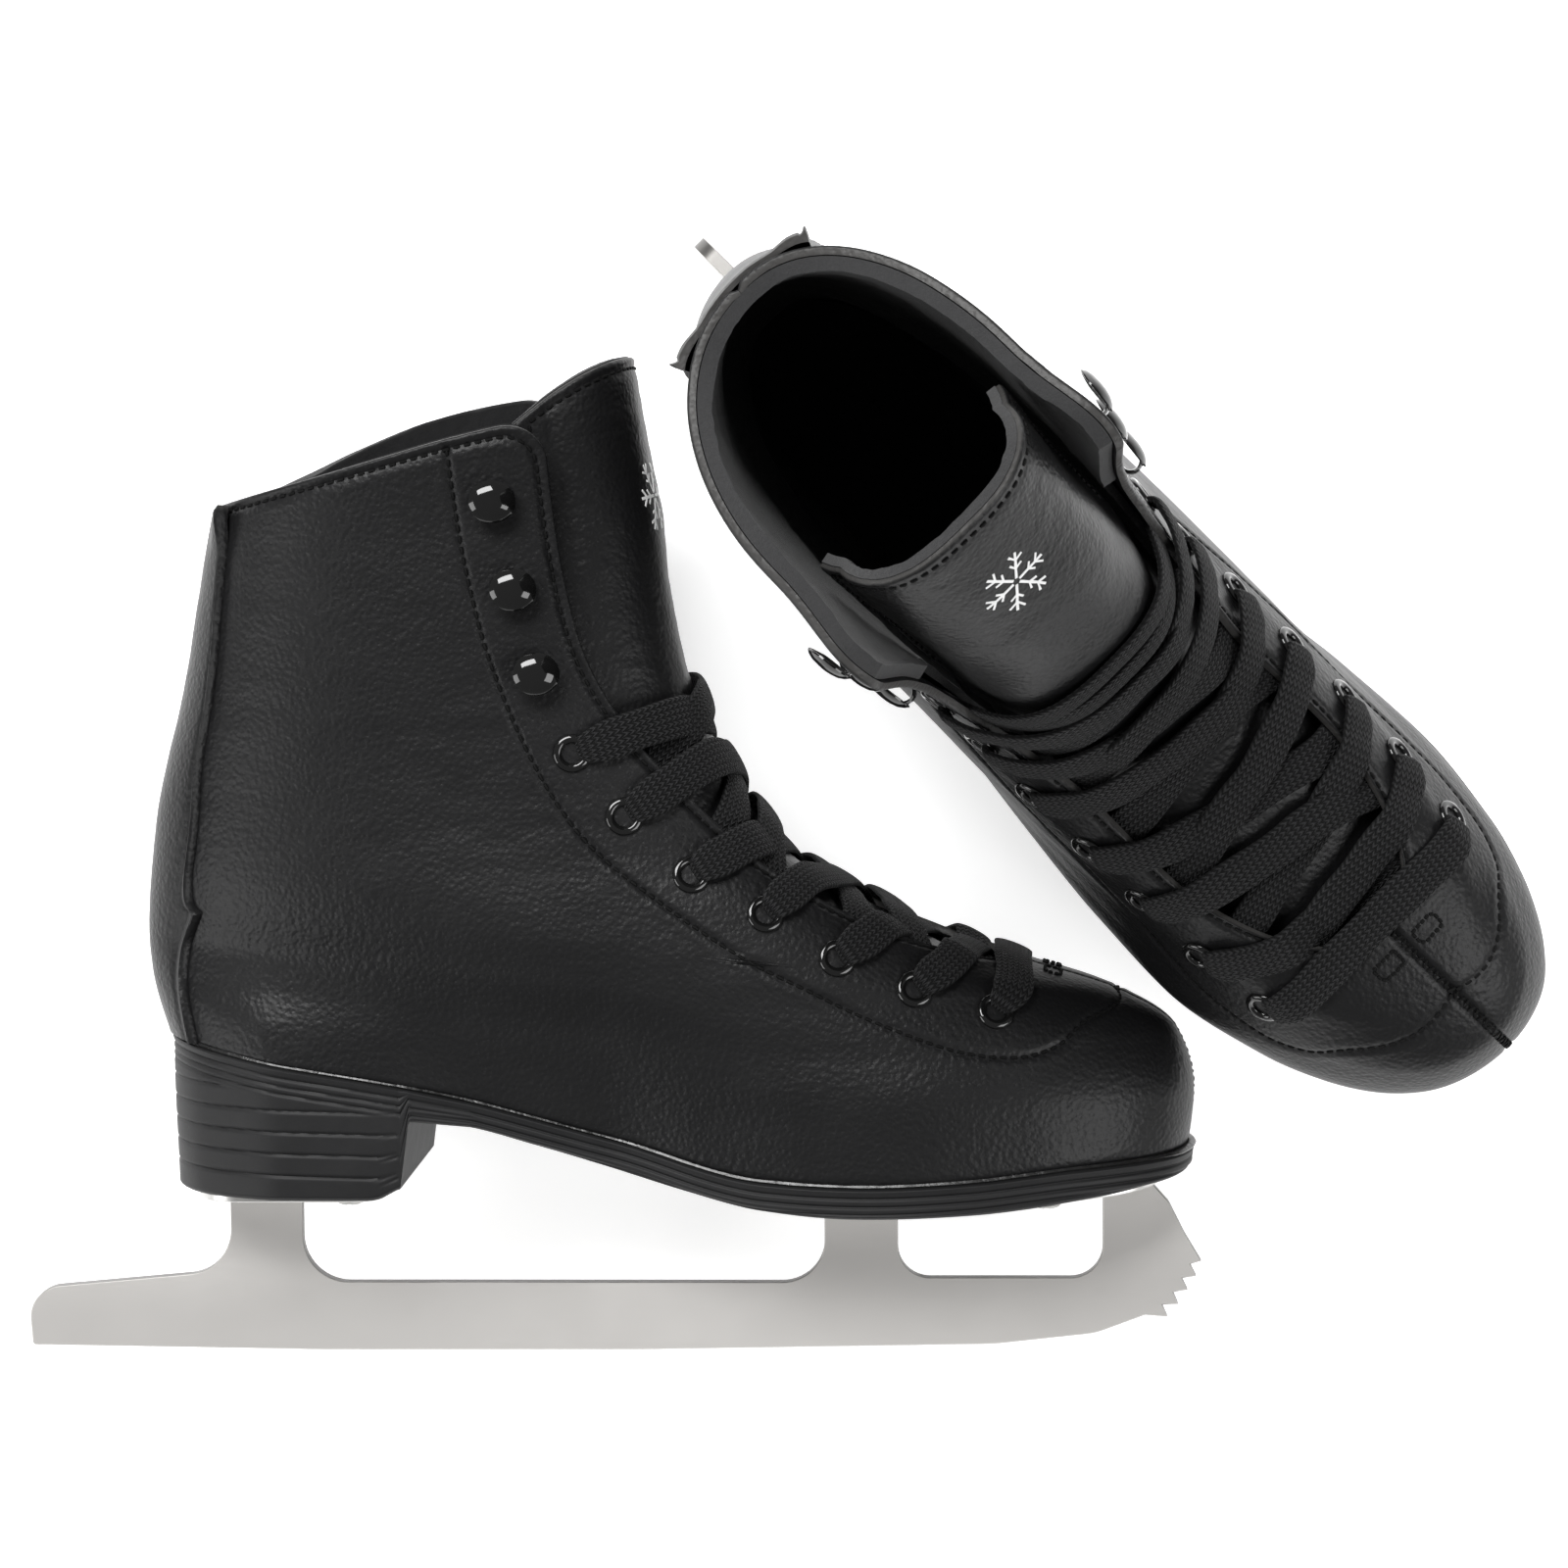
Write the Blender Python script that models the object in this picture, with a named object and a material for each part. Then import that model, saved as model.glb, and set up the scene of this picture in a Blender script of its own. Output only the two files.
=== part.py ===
"""A pair of laced figure skates: the left one lies on its outer side, the right one stands on its blade.

Each skate is designed in its own frame, in millimetres: x runs from the heel to the toe, z up from the
ice, and q sideways from the plane of the blade towards the outer side of the foot. The left skate's q
is +y and the right skate's q is -y. The boot's upper is one surface of egg-shaped sections: LEVELS gives
the sections from the sole (0) to the collar (10), and t runs round each from the heel (0) to the toe (1).
"""

import functools
import math

import bmesh
import bpy
import numpy as np
from mathutils import Euler, Matrix, Vector

MM = 0.001
GAP = 0.3

# Places of the two skates in the world: position in mm, then turns about X, Y and Z in degrees.
LEFT_PLACE = ((-169.2, -159.3, 51.04), (-84.0, 0.0, 0.0))
RIGHT_PLACE = ((3.8, 128.5, 0.63), (3.4, -2.6, -44.8))
TONGUE_LEAN = {"left": 0.0, "right": -20.0}

# Sections of the upper: back x, z; front x, z; half width to the inner and the outer side; place of
# the widest point; bluntness of the front; share of the sole line's sag; share of the egg shape.
LEVELS = (
    (0.5, 92.0, 283.0, 59.5, 43, 55, 0.68, 2.2, 1.00, 0.00),
    (-2.0, 99.8, 284.5, 76.0, 43, 54, 0.66, 2.2, 0.72, 0.20),
    (-4.2, 109.8, 279.5, 92.0, 40, 48, 0.6, 2.2, 0.45, 0.65),
    (-4.8, 120.0, 262.0, 103.0, 40, 47, 0.57, 2.3, 0.25, 1.00),
    (-4.4, 128.0, 235.0, 111.5, 40, 46, 0.54, 2.5, 0.12, 1.00),
    (-3.5, 138.0, 205.0, 125.5, 39, 45, 0.51, 2.8, 0.05, 1.00),
    (-1.7, 152.0, 173.0, 146.0, 37, 43, 0.5, 2.8, 0.00, 1.00),
    (1.5, 167.0, 152.5, 180.0, 36, 41, 0.5, 2.8, 0.00, 1.00),
    (5.8, 184.0, 144.0, 207.0, 36, 41, 0.5, 2.8, 0.00, 1.00),
    (11.0, 213.0, 137.0, 238.0, 36, 41, 0.5, 2.8, -0.04, 1.00),
    (15.5, 236.5, 131.5, 266.5, 37, 42, 0.5, 2.8, -0.08, 1.00),
    (20.5, 259.0, 127.0, 293.0, 37, 42, 0.5, 2.8, -0.08, 1.00),
)
BACK_BLUNTNESS = 2.2
COLLAR = 10.0
# How many levels the outer side's collar rises, by share of the way to the facing.
COLLAR_RISE = ((0, 0), (0.2, 0.02), (0.35, 0.12), (0.5, 0.25), (0.66, 0.32), (0.8, 0.29), (1.0, 0.2))

# The line where the upper meets the sole, and the sole's underside: x and z.
SOLE_LINE = (
    (0, 91.7),
    (30, 85.8),
    (70, 78.9),
    (126, 64.3),
    (166, 54.4),
    (191, 53.5),
    (221, 54.8),
    (250, 57.5),
    (285, 59.0),
)
SOLE_UNDER = (
    (71, 69.7),
    (83, 68.4),
    (103, 63.0),
    (143, 51.3),
    (165, 46.4),
    (190, 44.7),
    (222, 45.7),
    (255, 49.1),
    (285, 53.0),
)
HEEL_UNDER = 48.0
HEEL_BREAST = 69.0
# Half width of the sole to the inner and the outer side at each x.
SOLE_OUTLINE = (
    (0, 0, 0),
    (3, 13, 14),
    (10, 22.5, 24),
    (20, 29, 31),
    (35, 33.5, 36),
    (60, 34, 37),
    (90, 31, 39),
    (120, 30.5, 44),
    (150, 36, 50),
    (180, 42, 54.5),
    (207, 44, 56),
    (238, 40.5, 49.5),
    (254, 36, 43),
    (265, 31, 36.5),
    (273, 25.5, 29.5),
    (279, 19, 21.5),
    (284, 0, 0),
)

# Front edge of the facings: level and place along the section. The throat ends at THROAT_END.
THROAT_END = 3.35
FACING = (
    (3.35, 1.0),
    (3.6, 0.985),
    (4, 0.955),
    (5, 0.926),
    (6, 0.915),
    (7, 0.845),
    (8, 0.803),
    (9, 0.791),
    (10, 0.794),
    (11, 0.79),
)
# Every layer of the upper is faceted along the same levels and shares of the way to the facing's edge,
# so that layers a small gap apart never cross.
FACET_LEVELS = (0, 0.6, 1.3, 2.1, 2.8, THROAT_END, 3.6, 4.2, 5, 6, 7, 8.5, COLLAR, 11)
FACET_SHARES = tuple(k / 10 for k in range(11))
LEATHER = 2.2
STIFFENER = (2.6, 3.7)
LINER = (4.1, 6.0)
BACKSTAY = (0.7, 1.8)
BACKSTAY_SHARES = ((0, 0.12), (2, 0.13), (4, 0.17), (6, 0.22), (8, 0.25), (10, 0.22))

# Side-view places, x and z, of the eyelets from the toe up, and of the hooks.
EYELETS = (
    (229.0, 100.3),
    (207.1, 106.8),
    (186.1, 115.3),
    (166.7, 127.3),
    (146.7, 138.0),
    (128.7, 153.7),
    (114.8, 170.8),
)
# Level at which the lace from each eyelet pair meets the tongue's middle line.
RIDGE_LEVELS = (4.0, 4.55, 5.15, 5.75, 6.35, 6.95, 7.5)
EYELET_RADIUS = 5.2
EYELET_HOLE = 2.6
STAY_HALF_WIDTH = 7.0
STAY_LIFT = 0.8
HOOKS = ((106.0, 192.4), (100.1, 215.0), (94.9, 238.7))
HOOK_WIDTH = 7.0
LACE_RADIUS = 1.2
# Depths of the lace's middle line under the upper's surface: where it crosses the throat in its lower
# run and its upper run, at its bar by the toe, and outside the facings.
LACE_DEPTHS = (3.0, -0.2)
LACE_BAR_DEPTH = -1.6
LACE_LIFT = -5.0
LACE_STEPS = (-0.94, -0.75, -0.5, -0.2, 0.2, 0.5, 0.75, 0.94)
LACE_OVER_EDGE = 0.5
LACE_DRIFT = 0.07

# The tongue hangs from the vamp; its flap above the top lace crossing bends on the hinge. Its outer
# face lies this deep under the upper's surface along its middle line, by level.
TONGUE_THICK = 4.0
TONGUE_START = 3.15
TONGUE_SPLIT = 7.75
TONGUE_TOP = 10.52
TONGUE_RIDGE = ((3, 9.0), (4, 7.2), (7, 7.0), (8.2, 4.5), (9, 1.0), (11, 0.6))
# Depth of its side edges, how far they reach under the facings, and how much lower the flap starts
# and ends at its middle than at its sides.
TONGUE_SIDE_DEPTH = 7.4
TONGUE_UNDERLAP = 0.06
FLAP_START_DROP = 0.75
FLAP_TOP_DROP = 0.42
TONGUE_HINGE = (140.0, 0.0, 200.0)

# The blade, cut from one plate, as corners x, z with the radius that rounds each.
BLADE_THICK = 4.0
PLATE_THICK = 2.0
BLADE_OUTLINE = (
    (-41.6, 1.4, 1.0),
    (-42.6, 17.4, 9.0),
    (14.6, 22.6, 13.0),
    (14.6, 45.3, 0.0),
    (34.7, 45.3, 0.0),
    (34.7, 19.3, 13.0),
    (181.0, 19.2, 12.0),
    (181.0, 42.1, 0.0),
    (201.5, 42.1, 0.0),
    (201.5, 20.5, 9.0),
    (259.0, 20.5, 9.0),
    (259.0, 46.5, 0.0),
    (272.5, 47.6, 0.0),
    (277.5, 42.0, 4.0),
    (282.0, 33.0, 6.0),
    (286.6, 25.3, 0.0),
    (283.5, 24.4, 0.0),
    (285.2, 21.0, 0.0),
    (281.2, 20.4, 0.0),
    (282.8, 17.1, 0.0),
    (278.8, 16.4, 0.0),
    (280.2, 13.0, 0.0),
    (275.7, 12.8, 0.0),
    (277.2, 9.4, 0.0),
    (270.9, 9.9, 0.0),
    (257.0, 4.7, 20.0),
    (228.5, 1.6, 60.0),
    (130.0, 0.0, 0.0),
    (40.0, 0.0, 0.0),
)
HEEL_PLATE = (8.0, 60.0, 44.0)
SOLE_PLATE = (172.0, 276.0, 50.0)
HEEL_SCREWS = ((50.0, -13.0), (50.0, 13.0))
SOLE_SCREWS = ((190.0, -17.0), (190.0, 17.0), (243.0, -17.0), (243.0, 17.0))
SCREW_HOLE = 2.4

MATERIALS = {
    "leather": ((0.018, 0.018, 0.019), 0.42, 0.0),
    "lining": ((0.022, 0.022, 0.024), 0.95, 0.0),
    "sole": ((0.03, 0.03, 0.031), 0.5, 0.0),
    "board": ((0.2, 0.17, 0.13), 0.85, 0.0),
    "steel": ((0.56, 0.55, 0.53), 0.32, 1.0),
    "enamel": ((0.006, 0.006, 0.006), 0.12, 0.0),
    "lace": ((0.012, 0.012, 0.012), 0.9, 0.0),
}


def clear_scene():
    for obj in list(bpy.data.objects):
        bpy.data.objects.remove(obj, do_unlink=True)


def make_materials():
    made = {}
    for name, (colour, roughness, metallic) in MATERIALS.items():
        material = bpy.data.materials.new(name)
        material.use_nodes = True
        shader = material.node_tree.nodes["Principled BSDF"]
        shader.inputs["Base Color"].default_value = (*colour, 1.0)
        shader.inputs["Roughness"].default_value = roughness
        shader.inputs["Metallic"].default_value = metallic
        made[name] = material
    return made


def smooth(points, x, column=1):
    """The monotone cubic curve through the points' first column and the given one, at x."""
    xs = [p[0] for p in points]
    ys = [p[column] for p in points]
    x = min(max(x, xs[0]), xs[-1])
    i = min(int(np.searchsorted(xs, x, side="right")) - 1, len(xs) - 2)
    slopes = [(ys[k + 1] - ys[k]) / (xs[k + 1] - xs[k]) for k in range(len(xs) - 1)]

    def tangent(k):
        if k in (0, len(xs) - 1):
            return slopes[min(k, len(slopes) - 1)]
        before, after = slopes[k - 1], slopes[k]
        return 0.0 if before * after <= 0 else 2 * before * after / (before + after)

    step = xs[i + 1] - xs[i]
    f = (x - xs[i]) / step
    rise = (1 + 2 * f) * (1 - f) ** 2 * ys[i] + f * f * (3 - 2 * f) * ys[i + 1]
    return rise + step * (f * (1 - f) ** 2 * tangent(i) - f * f * (1 - f) * tangent(i + 1))


def at_level(v):
    numbered = [(k, *row) for k, row in enumerate(LEVELS)]
    return [smooth(numbered, v, column) for column in range(1, len(numbered[0]))]


def place_of(t):
    return (1 - math.cos(math.pi * t)) / 2


def turn_of(place):
    return math.acos(1 - 2 * min(max(place, 0.0), 1.0)) / math.pi


def sole_half(place, side):
    """Half width of the sole's outline, smooth in the turn round it, where its ends are round."""
    column = 2 if side > 0 else 1
    turned = [(turn_of(row[0] / SOLE_OUTLINE[-1][0]), row[column]) for row in SOLE_OUTLINE]
    return smooth(turned, turn_of(place))


def sag(place):
    back_z, front_x, front_z = LEVELS[0][1], LEVELS[0][2], LEVELS[0][3]
    return back_z + place * (front_z - back_z) - smooth(SOLE_LINE, place * front_x)


def upper_point(side, t, v):
    """A point of the upper's outer surface: side is +1 for the outer side, -1 for the inner one."""
    back_x, back_z, front_x, front_z, inner, outer, widest, blunt, sagging, egg = at_level(v)
    place = place_of(t)
    behind = place < widest
    q = (widest - place) / widest if behind else (place - widest) / (1 - widest)
    power = BACK_BLUNTNESS if behind else blunt
    half = (outer if side > 0 else inner) * max(0.0, 1 - q**power) ** (1 / power)
    half = egg * half + (1 - egg) * sole_half(place, side)
    x = back_x + place * (front_x - back_x)
    z = back_z + place * (front_z - back_z) - sagging * sag(place)
    return np.array((x, side * half, z))


def upper_normal(side, t, v):
    step = 0.004
    low_t, high_t = max(t - step, 0.0), min(t + step, 1.0)
    low_v, high_v = max(v - 0.05, 0.0), min(v + 0.05, 11.0)
    along = upper_point(side, high_t, v) - upper_point(side, low_t, v)
    if t <= 0 or t >= 1:
        along[0] = along[2] = 0.0
    up = upper_point(side, t, high_v) - upper_point(side, t, low_v)
    normal = np.cross(along, up) * side
    return -normal / np.linalg.norm(normal)


@functools.lru_cache(maxsize=None)
def inside_point(side, t, v, depth):
    """The point at a depth under the upper's surface."""
    return upper_point(side, t, v) - depth * upper_normal(side, t, v)


def cell(marks, value):
    """The two marks around a value, and how far it lies between them."""
    i = min(max(int(np.searchsorted(marks, value, side="right")) - 1, 0), len(marks) - 2)
    low, high = marks[i], marks[i + 1]
    return low, high, (value - low) / (high - low)


def layer_point(side, share, v, depth, seam=GAP / 2):
    """The point of a faceted layer, kept off the seam in the middle plane."""
    low_v, high_v, up = cell(FACET_LEVELS, v)
    low_s, high_s, along = cell(FACET_SHARES, share)
    corners = []
    for level in (low_v, high_v):
        edge = facing_turn(level)
        near, far = (inside_point(side, s * edge, level, depth) for s in (low_s, high_s))
        corners.append(near + (far - near) * along)
    point = corners[0] + (corners[1] - corners[0]) * up
    point[1] = side * max(side * point[1], seam)
    return point


def level_and_turn(x, z):
    """The level and the turn of the surface point that shows at x, z in the side view."""
    low, high = 0.0, 11.0
    for _ in range(40):
        middle = (low + high) / 2
        back_x, _, front_x = at_level(middle)[:3]
        turn = turn_of((x - back_x) / (front_x - back_x))
        if upper_point(1, turn, middle)[2] < z:
            low = middle
        else:
            high = middle
    return middle, turn


def facing_turn(v):
    return turn_of(smooth(FACING, v)) if v > THROAT_END else 1.0


def add_object(name, mesh, material, parent, collection):
    obj = bpy.data.objects.new(name, mesh)
    obj.data.materials.append(material)
    obj.parent = parent
    collection.objects.link(obj)
    return obj


def mesh_from(points, faces, name, mirror):
    """A mesh in metres, with q turned into y; its faces are set to point out."""
    mesh = bpy.data.meshes.new(name)
    mesh.from_pydata([(p[0] * MM, p[1] * mirror * MM, p[2] * MM) for p in points], [], faces)
    shape = bmesh.new()
    shape.from_mesh(mesh)
    bmesh.ops.recalc_face_normals(shape, faces=shape.faces)
    if shape.calc_volume(signed=True) < 0:
        bmesh.ops.reverse_faces(shape, faces=shape.faces)
    shape.to_mesh(mesh)
    shape.free()
    mesh.shade_smooth()
    mesh.set_sharp_from_angle(angle=math.radians(35))
    return mesh


def shell(outer, inner):
    """Points and faces of the closed body between two grids of the same size."""
    rows, columns = len(outer), len(outer[0])
    points = [p for grid in (outer, inner) for row in grid for p in row]
    faces = []
    for sheet in (0, rows * columns):
        for i in range(rows - 1):
            for j in range(columns - 1):
                corner = sheet + i * columns + j
                faces.append((corner, corner + 1, corner + columns + 1, corner + columns))
    border = [(0, j) for j in range(columns)]
    border += [(i, columns - 1) for i in range(1, rows)]
    border += [(rows - 1, j) for j in range(columns - 2, -1, -1)]
    border += [(i, 0) for i in range(rows - 2, 0, -1)]
    ring = [i * columns + j for i, j in border]
    below = rows * columns
    for a, b in zip(ring, ring[1:] + ring[:1]):
        faces.append((a, b, b + below, a + below))
    return points, faces


def layer(levels, shares, outer_depth, inner_depth, seam=GAP / 2):
    """A shell under the upper's surface. shares(v) gives signed shares, negative on the inner side."""

    def grid(depth):
        rows = []
        for v in levels:
            places = [(1 if s >= 0 else -1, abs(s)) for s in shares(v)]
            rows.append([layer_point(side, s, raised(side, s, v), depth, seam) for side, s in places])
        return rows

    return shell(grid(outer_depth), grid(inner_depth))


def spread(start, end, count):
    return [start + (end - start) * k / (count - 1) for k in range(count)]


def raised(side, share, v):
    """The level, lifted near the collar on the outer side."""
    if side < 0 or v <= 8.5:
        return v
    return v + smooth(COLLAR_RISE, share) * (v - 8.5) / 1.5


def corner_level(side, share, v):
    """The collar's edge drops in a round corner where it meets the facing."""
    if v <= 9.0:
        return v
    return raised(side, share, v) - (v - 9.0) * 0.45 * max(0.0, (share - 0.85) / 0.15) ** 2


def quarter(side):
    levels = [v for v in FACET_LEVELS if v <= COLLAR]

    def grid(depth):
        rows = []
        for v in levels:
            rows.append([layer_point(side, s, corner_level(side, s, v), depth) for s in FACET_SHARES])
        return rows

    return shell(grid(0.0), grid(LEATHER))


def liner():
    levels = [0.15] + [v for v in FACET_LEVELS if 0.4 < v < COLLAR] + [9.8]
    shares = [-s for s in reversed(FACET_SHARES)] + list(FACET_SHARES[1:])
    return layer(levels, lambda v: shares, *LINER)


def heel_counter():
    levels = [v for v in FACET_LEVELS if 0.4 < v <= 6]
    shares = [k / 10 for k in range(-3, 4)]
    return layer(levels, lambda v: shares, *STIFFENER)


def toe_puff():
    levels = [v for v in FACET_LEVELS if 0.4 < v < 3]
    return layer(levels, lambda v: [0.8, 0.9, 1.0, -0.9, -0.8], *STIFFENER, seam=0.0)


def backstay():
    """The strip that covers the back seam, wider towards the heel and the collar."""

    def shares(v):
        wide = smooth(BACKSTAY_SHARES, v)
        outer = 0.2 if wide > 0.21 else (0.1 + wide) / 2
        return [-wide, -outer, -0.1, 0.0, 0.1, outer, wide]

    levels = [0.1] + [v for v in FACET_LEVELS if 0.4 < v < COLLAR] + [9.9]
    return layer(levels, shares, -BACKSTAY[1], -BACKSTAY[0], seam=0.0)


def sole_strip(x_start, x_end, inset, low, high, widest=1e3, count=16):
    """A sheet that follows the sole line, between two heights over it."""

    def grid(height):
        rows = []
        for x in spread(x_start, x_end, count):
            z = smooth(SOLE_LINE, x) + height
            place = x / SOLE_OUTLINE[-1][0]
            halves = [min(sole_half(place, side) - inset, widest) for side in (-1, 1)]
            rows.append([(x, -halves[0], z), (x, 0.0, z), (x, halves[1], z)])
        return rows

    return shell(grid(high), grid(low))


def outsole():
    """The unit sole with its heel: straight across, with a steep step at the heel's breast."""
    length = SOLE_OUTLINE[-1][0]
    stations = [place_of(t) * length for t in spread(0.035, 0.32, 8)] + [HEEL_BREAST - 2.5, HEEL_BREAST]
    stations += [place_of(t) * length for t in spread(0.37, 0.975, 16)]
    top, under = [], []
    for x in stations:
        halves = [sole_half(x / length, side) for side in (-1, 1)]
        heel = x < HEEL_BREAST - 1
        z = HEEL_UNDER if heel else smooth(SOLE_UNDER, x)
        shrink = 1.5 if heel else 0.8
        seat = smooth(SOLE_LINE, x) - 2 * GAP
        top.append([(x, -halves[0], seat), (x, halves[1], seat)])
        under.append([(x, -halves[0] + shrink, z), (x, halves[1] - shrink, z)])
    return shell(top, under)


def tongue(levels_at):
    """Part of the tongue: under the facings at its sides, proud between them above the laces."""
    shares = spread(-1, 1, 11)

    def grid(thick):
        rows = []
        for step in spread(0, 1, 7):
            row = []
            for share in shares:
                level = levels_at(step, abs(share))
                edge = turn_of(smooth(FACING, max(level, THROAT_END)) - TONGUE_UNDERLAP)
                turn = 1 - abs(share) * (1 - edge)
                ridge = smooth(TONGUE_RIDGE, level)
                depth = ridge + (TONGUE_SIDE_DEPTH - ridge) * min(1.0, abs(share) * 1.25) ** 2
                row.append(inside_point(1 if share >= 0 else -1, turn, level, depth + thick))
            rows.append(row)
        return rows

    return shell(grid(0.0), grid(TONGUE_THICK))


def tongue_base():
    return tongue(lambda step, share: TONGUE_START + step * (TONGUE_SPLIT - TONGUE_START))


def tongue_flap():
    def levels_at(step, share):
        low = TONGUE_SPLIT + 0.06 + FLAP_START_DROP * share**2
        high = TONGUE_TOP - FLAP_TOP_DROP * share**2
        return low + step * (high - low)

    return tongue(levels_at)


def surface_frame(side, x, z):
    """The surface point shown at x, z, with its outward normal and its forward direction."""
    v, t = level_and_turn(x, z)
    normal = upper_normal(side, t, v)
    ahead = np.array((1.0, 0.0, 0.0)) - normal[0] * normal
    ahead /= np.linalg.norm(ahead)
    return layer_point(side, t / facing_turn(v), v, 0.0), normal, ahead


def frame_matrix(point, normal, ahead, mirror):
    """A matrix in metres whose X runs ahead and whose Z runs out of the surface."""
    flip = np.array((1.0, mirror, 1.0))
    x_axis, z_axis = Vector(ahead * flip), Vector(normal * flip)
    y_axis = z_axis.cross(x_axis)
    matrix = Matrix((x_axis, y_axis, z_axis)).transposed().to_4x4()
    return Matrix.Translation(Vector(point * flip) * MM) @ matrix


def hook_mesh():
    """A lacing hook: a strip bent over into a mouth that opens to the rear."""
    curve = bpy.data.curves.new("hook_profile", "CURVE")
    curve.dimensions = "2D"
    curve.fill_mode = "BOTH"
    curve.extrude = HOOK_WIDTH / 2 * MM
    outline = [(-4.5, 0.3), (2.5, 0.3), (4.6, 1.4), (5.4, 3.6), (4.6, 5.8), (2.5, 6.9), (-6.3, 7.2)]
    outline += [(-6.3, 6.0), (2.0, 5.7), (3.6, 4.8), (4.1, 3.6), (3.6, 2.4), (2.0, 1.5), (-4.5, 1.3)]
    spline = curve.splines.new("POLY")
    spline.points.add(len(outline) - 1)
    for point, (x, y) in zip(spline.points, outline):
        point.co = (x * MM, y * MM, 0.0, 1.0)
    spline.use_cyclic_u = True
    return mesh_of_curve(curve)


def mesh_of_curve(curve):
    """The curve's closed mesh, with its caps welded."""
    holder = bpy.data.objects.new(curve.name, curve)
    bpy.context.scene.collection.objects.link(holder)
    graph = bpy.context.evaluated_depsgraph_get()
    mesh = bpy.data.meshes.new_from_object(holder.evaluated_get(graph))
    bpy.data.objects.remove(holder, do_unlink=True)
    shape = bmesh.new()
    shape.from_mesh(mesh)
    bmesh.ops.remove_doubles(shape, verts=shape.verts, dist=1e-6)
    bmesh.ops.recalc_face_normals(shape, faces=shape.faces)
    shape.to_mesh(mesh)
    shape.free()
    return mesh


def rounded(corners, arc_steps=5):
    """The outline with each corner x, z replaced by an arc of its radius."""
    made = []
    for k, (x, z, radius) in enumerate(corners):
        here = np.array((x, z))
        if radius == 0:
            made.append(here)
            continue
        before = np.array(corners[k - 1][:2]) - here
        after = np.array(corners[(k + 1) % len(corners)][:2]) - here
        before /= np.linalg.norm(before)
        after /= np.linalg.norm(after)
        half = math.acos(float(np.clip(before @ after, -1, 1))) / 2
        centre = here + (before + after) / np.linalg.norm(before + after) * radius / math.sin(half)
        start = here + before * radius / math.tan(half) - centre
        end = here + after * radius / math.tan(half) - centre
        swing = math.atan2(start[0] * end[1] - start[1] * end[0], start @ end)
        for j in range(arc_steps + 1):
            a = swing * j / arc_steps
            turn = np.array(((math.cos(a), -math.sin(a)), (math.sin(a), math.cos(a))))
            made.append(centre + turn @ start)
    return made


def blade_mesh():
    curve = bpy.data.curves.new("blade_profile", "CURVE")
    curve.dimensions = "2D"
    curve.fill_mode = "BOTH"
    curve.extrude = BLADE_THICK / 2 * MM
    outline = rounded(BLADE_OUTLINE)
    spline = curve.splines.new("POLY")
    spline.points.add(len(outline) - 1)
    for point, (x, z) in zip(spline.points, outline):
        point.co = (x * MM, z * MM, 0.0, 1.0)
    spline.use_cyclic_u = True
    mesh = mesh_of_curve(curve)
    mesh.transform(Matrix.Rotation(math.pi / 2, 4, "X"))
    return mesh


def heel_plate():
    start, end, width = HEEL_PLATE
    edge = -width / 2
    outline = [(start, edge + 8), (start + 9, edge), (end - 6, edge), (end, edge + 6)]
    outline += [(x, -y) for x, y in reversed(outline)]
    heights = (HEEL_UNDER - GAP - PLATE_THICK, HEEL_UNDER - GAP)
    return prism([[(x, y, z) for z in heights] for x, y in outline])


def prism(rows):
    """Points and faces of a prism from pairs of lower and upper points round its outline."""
    count = len(rows)
    points = [row[0] for row in rows] + [row[1] for row in rows]
    faces = [tuple(range(count)), tuple(range(count, 2 * count))]
    for k in range(count):
        after = (k + 1) % count
        faces.append((k, after, after + count, k + count))
    return points, faces


def sole_plate():
    """The front plate, bent to the sole's underside and narrower at both ends."""
    start, end, width = SOLE_PLATE

    def grid(height):
        rows = []
        for x in spread(start, end, 10):
            middle = (2 * x - start - end) / (end - start)
            half = width / 2 * (1 - 0.45 * abs(middle) ** 5)
            z = smooth(SOLE_UNDER, x) - height
            rows.append([(x, -half, z), (x, half, z)])
        return rows

    return shell(grid(GAP), grid(GAP + PLATE_THICK))


def screw_mesh(plate_under):
    """A countersunk wood screw, its head just proud of the plate: a turned profile."""
    profile = ((0.0, 11.5), (1.6, 8.5), (1.6, -0.9), (3.9, -0.9), (3.9, -1.4), (2.6, -2.0), (0.0, -2.2))
    shape = bmesh.new()
    verts = [shape.verts.new((r * MM, 0.0, (plate_under + z) * MM)) for r, z in profile]
    for a, b in zip(verts, verts[1:]):
        shape.edges.new((a, b))
    profile_parts = shape.verts[:] + shape.edges[:]
    bmesh.ops.spin(shape, geom=profile_parts, cent=(0, 0, 0), axis=(0, 0, 1), angle=math.tau, steps=8)
    bmesh.ops.remove_doubles(shape, verts=shape.verts, dist=1e-6)
    bmesh.ops.recalc_face_normals(shape, faces=shape.faces)
    mesh = bpy.data.meshes.new("screw")
    shape.to_mesh(mesh)
    shape.free()
    return mesh


def cylinder(radius, low, high, segments=12):
    shape = bmesh.new()
    matrix = Matrix.Translation((0, 0, (low + high) / 2 * MM))
    bmesh.ops.create_cone(
        shape,
        cap_ends=True,
        segments=segments,
        radius1=radius * MM,
        radius2=radius * MM,
        depth=(high - low) * MM,
        matrix=matrix,
    )
    mesh = bpy.data.meshes.new("cylinder")
    shape.to_mesh(mesh)
    shape.free()
    return mesh


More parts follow.
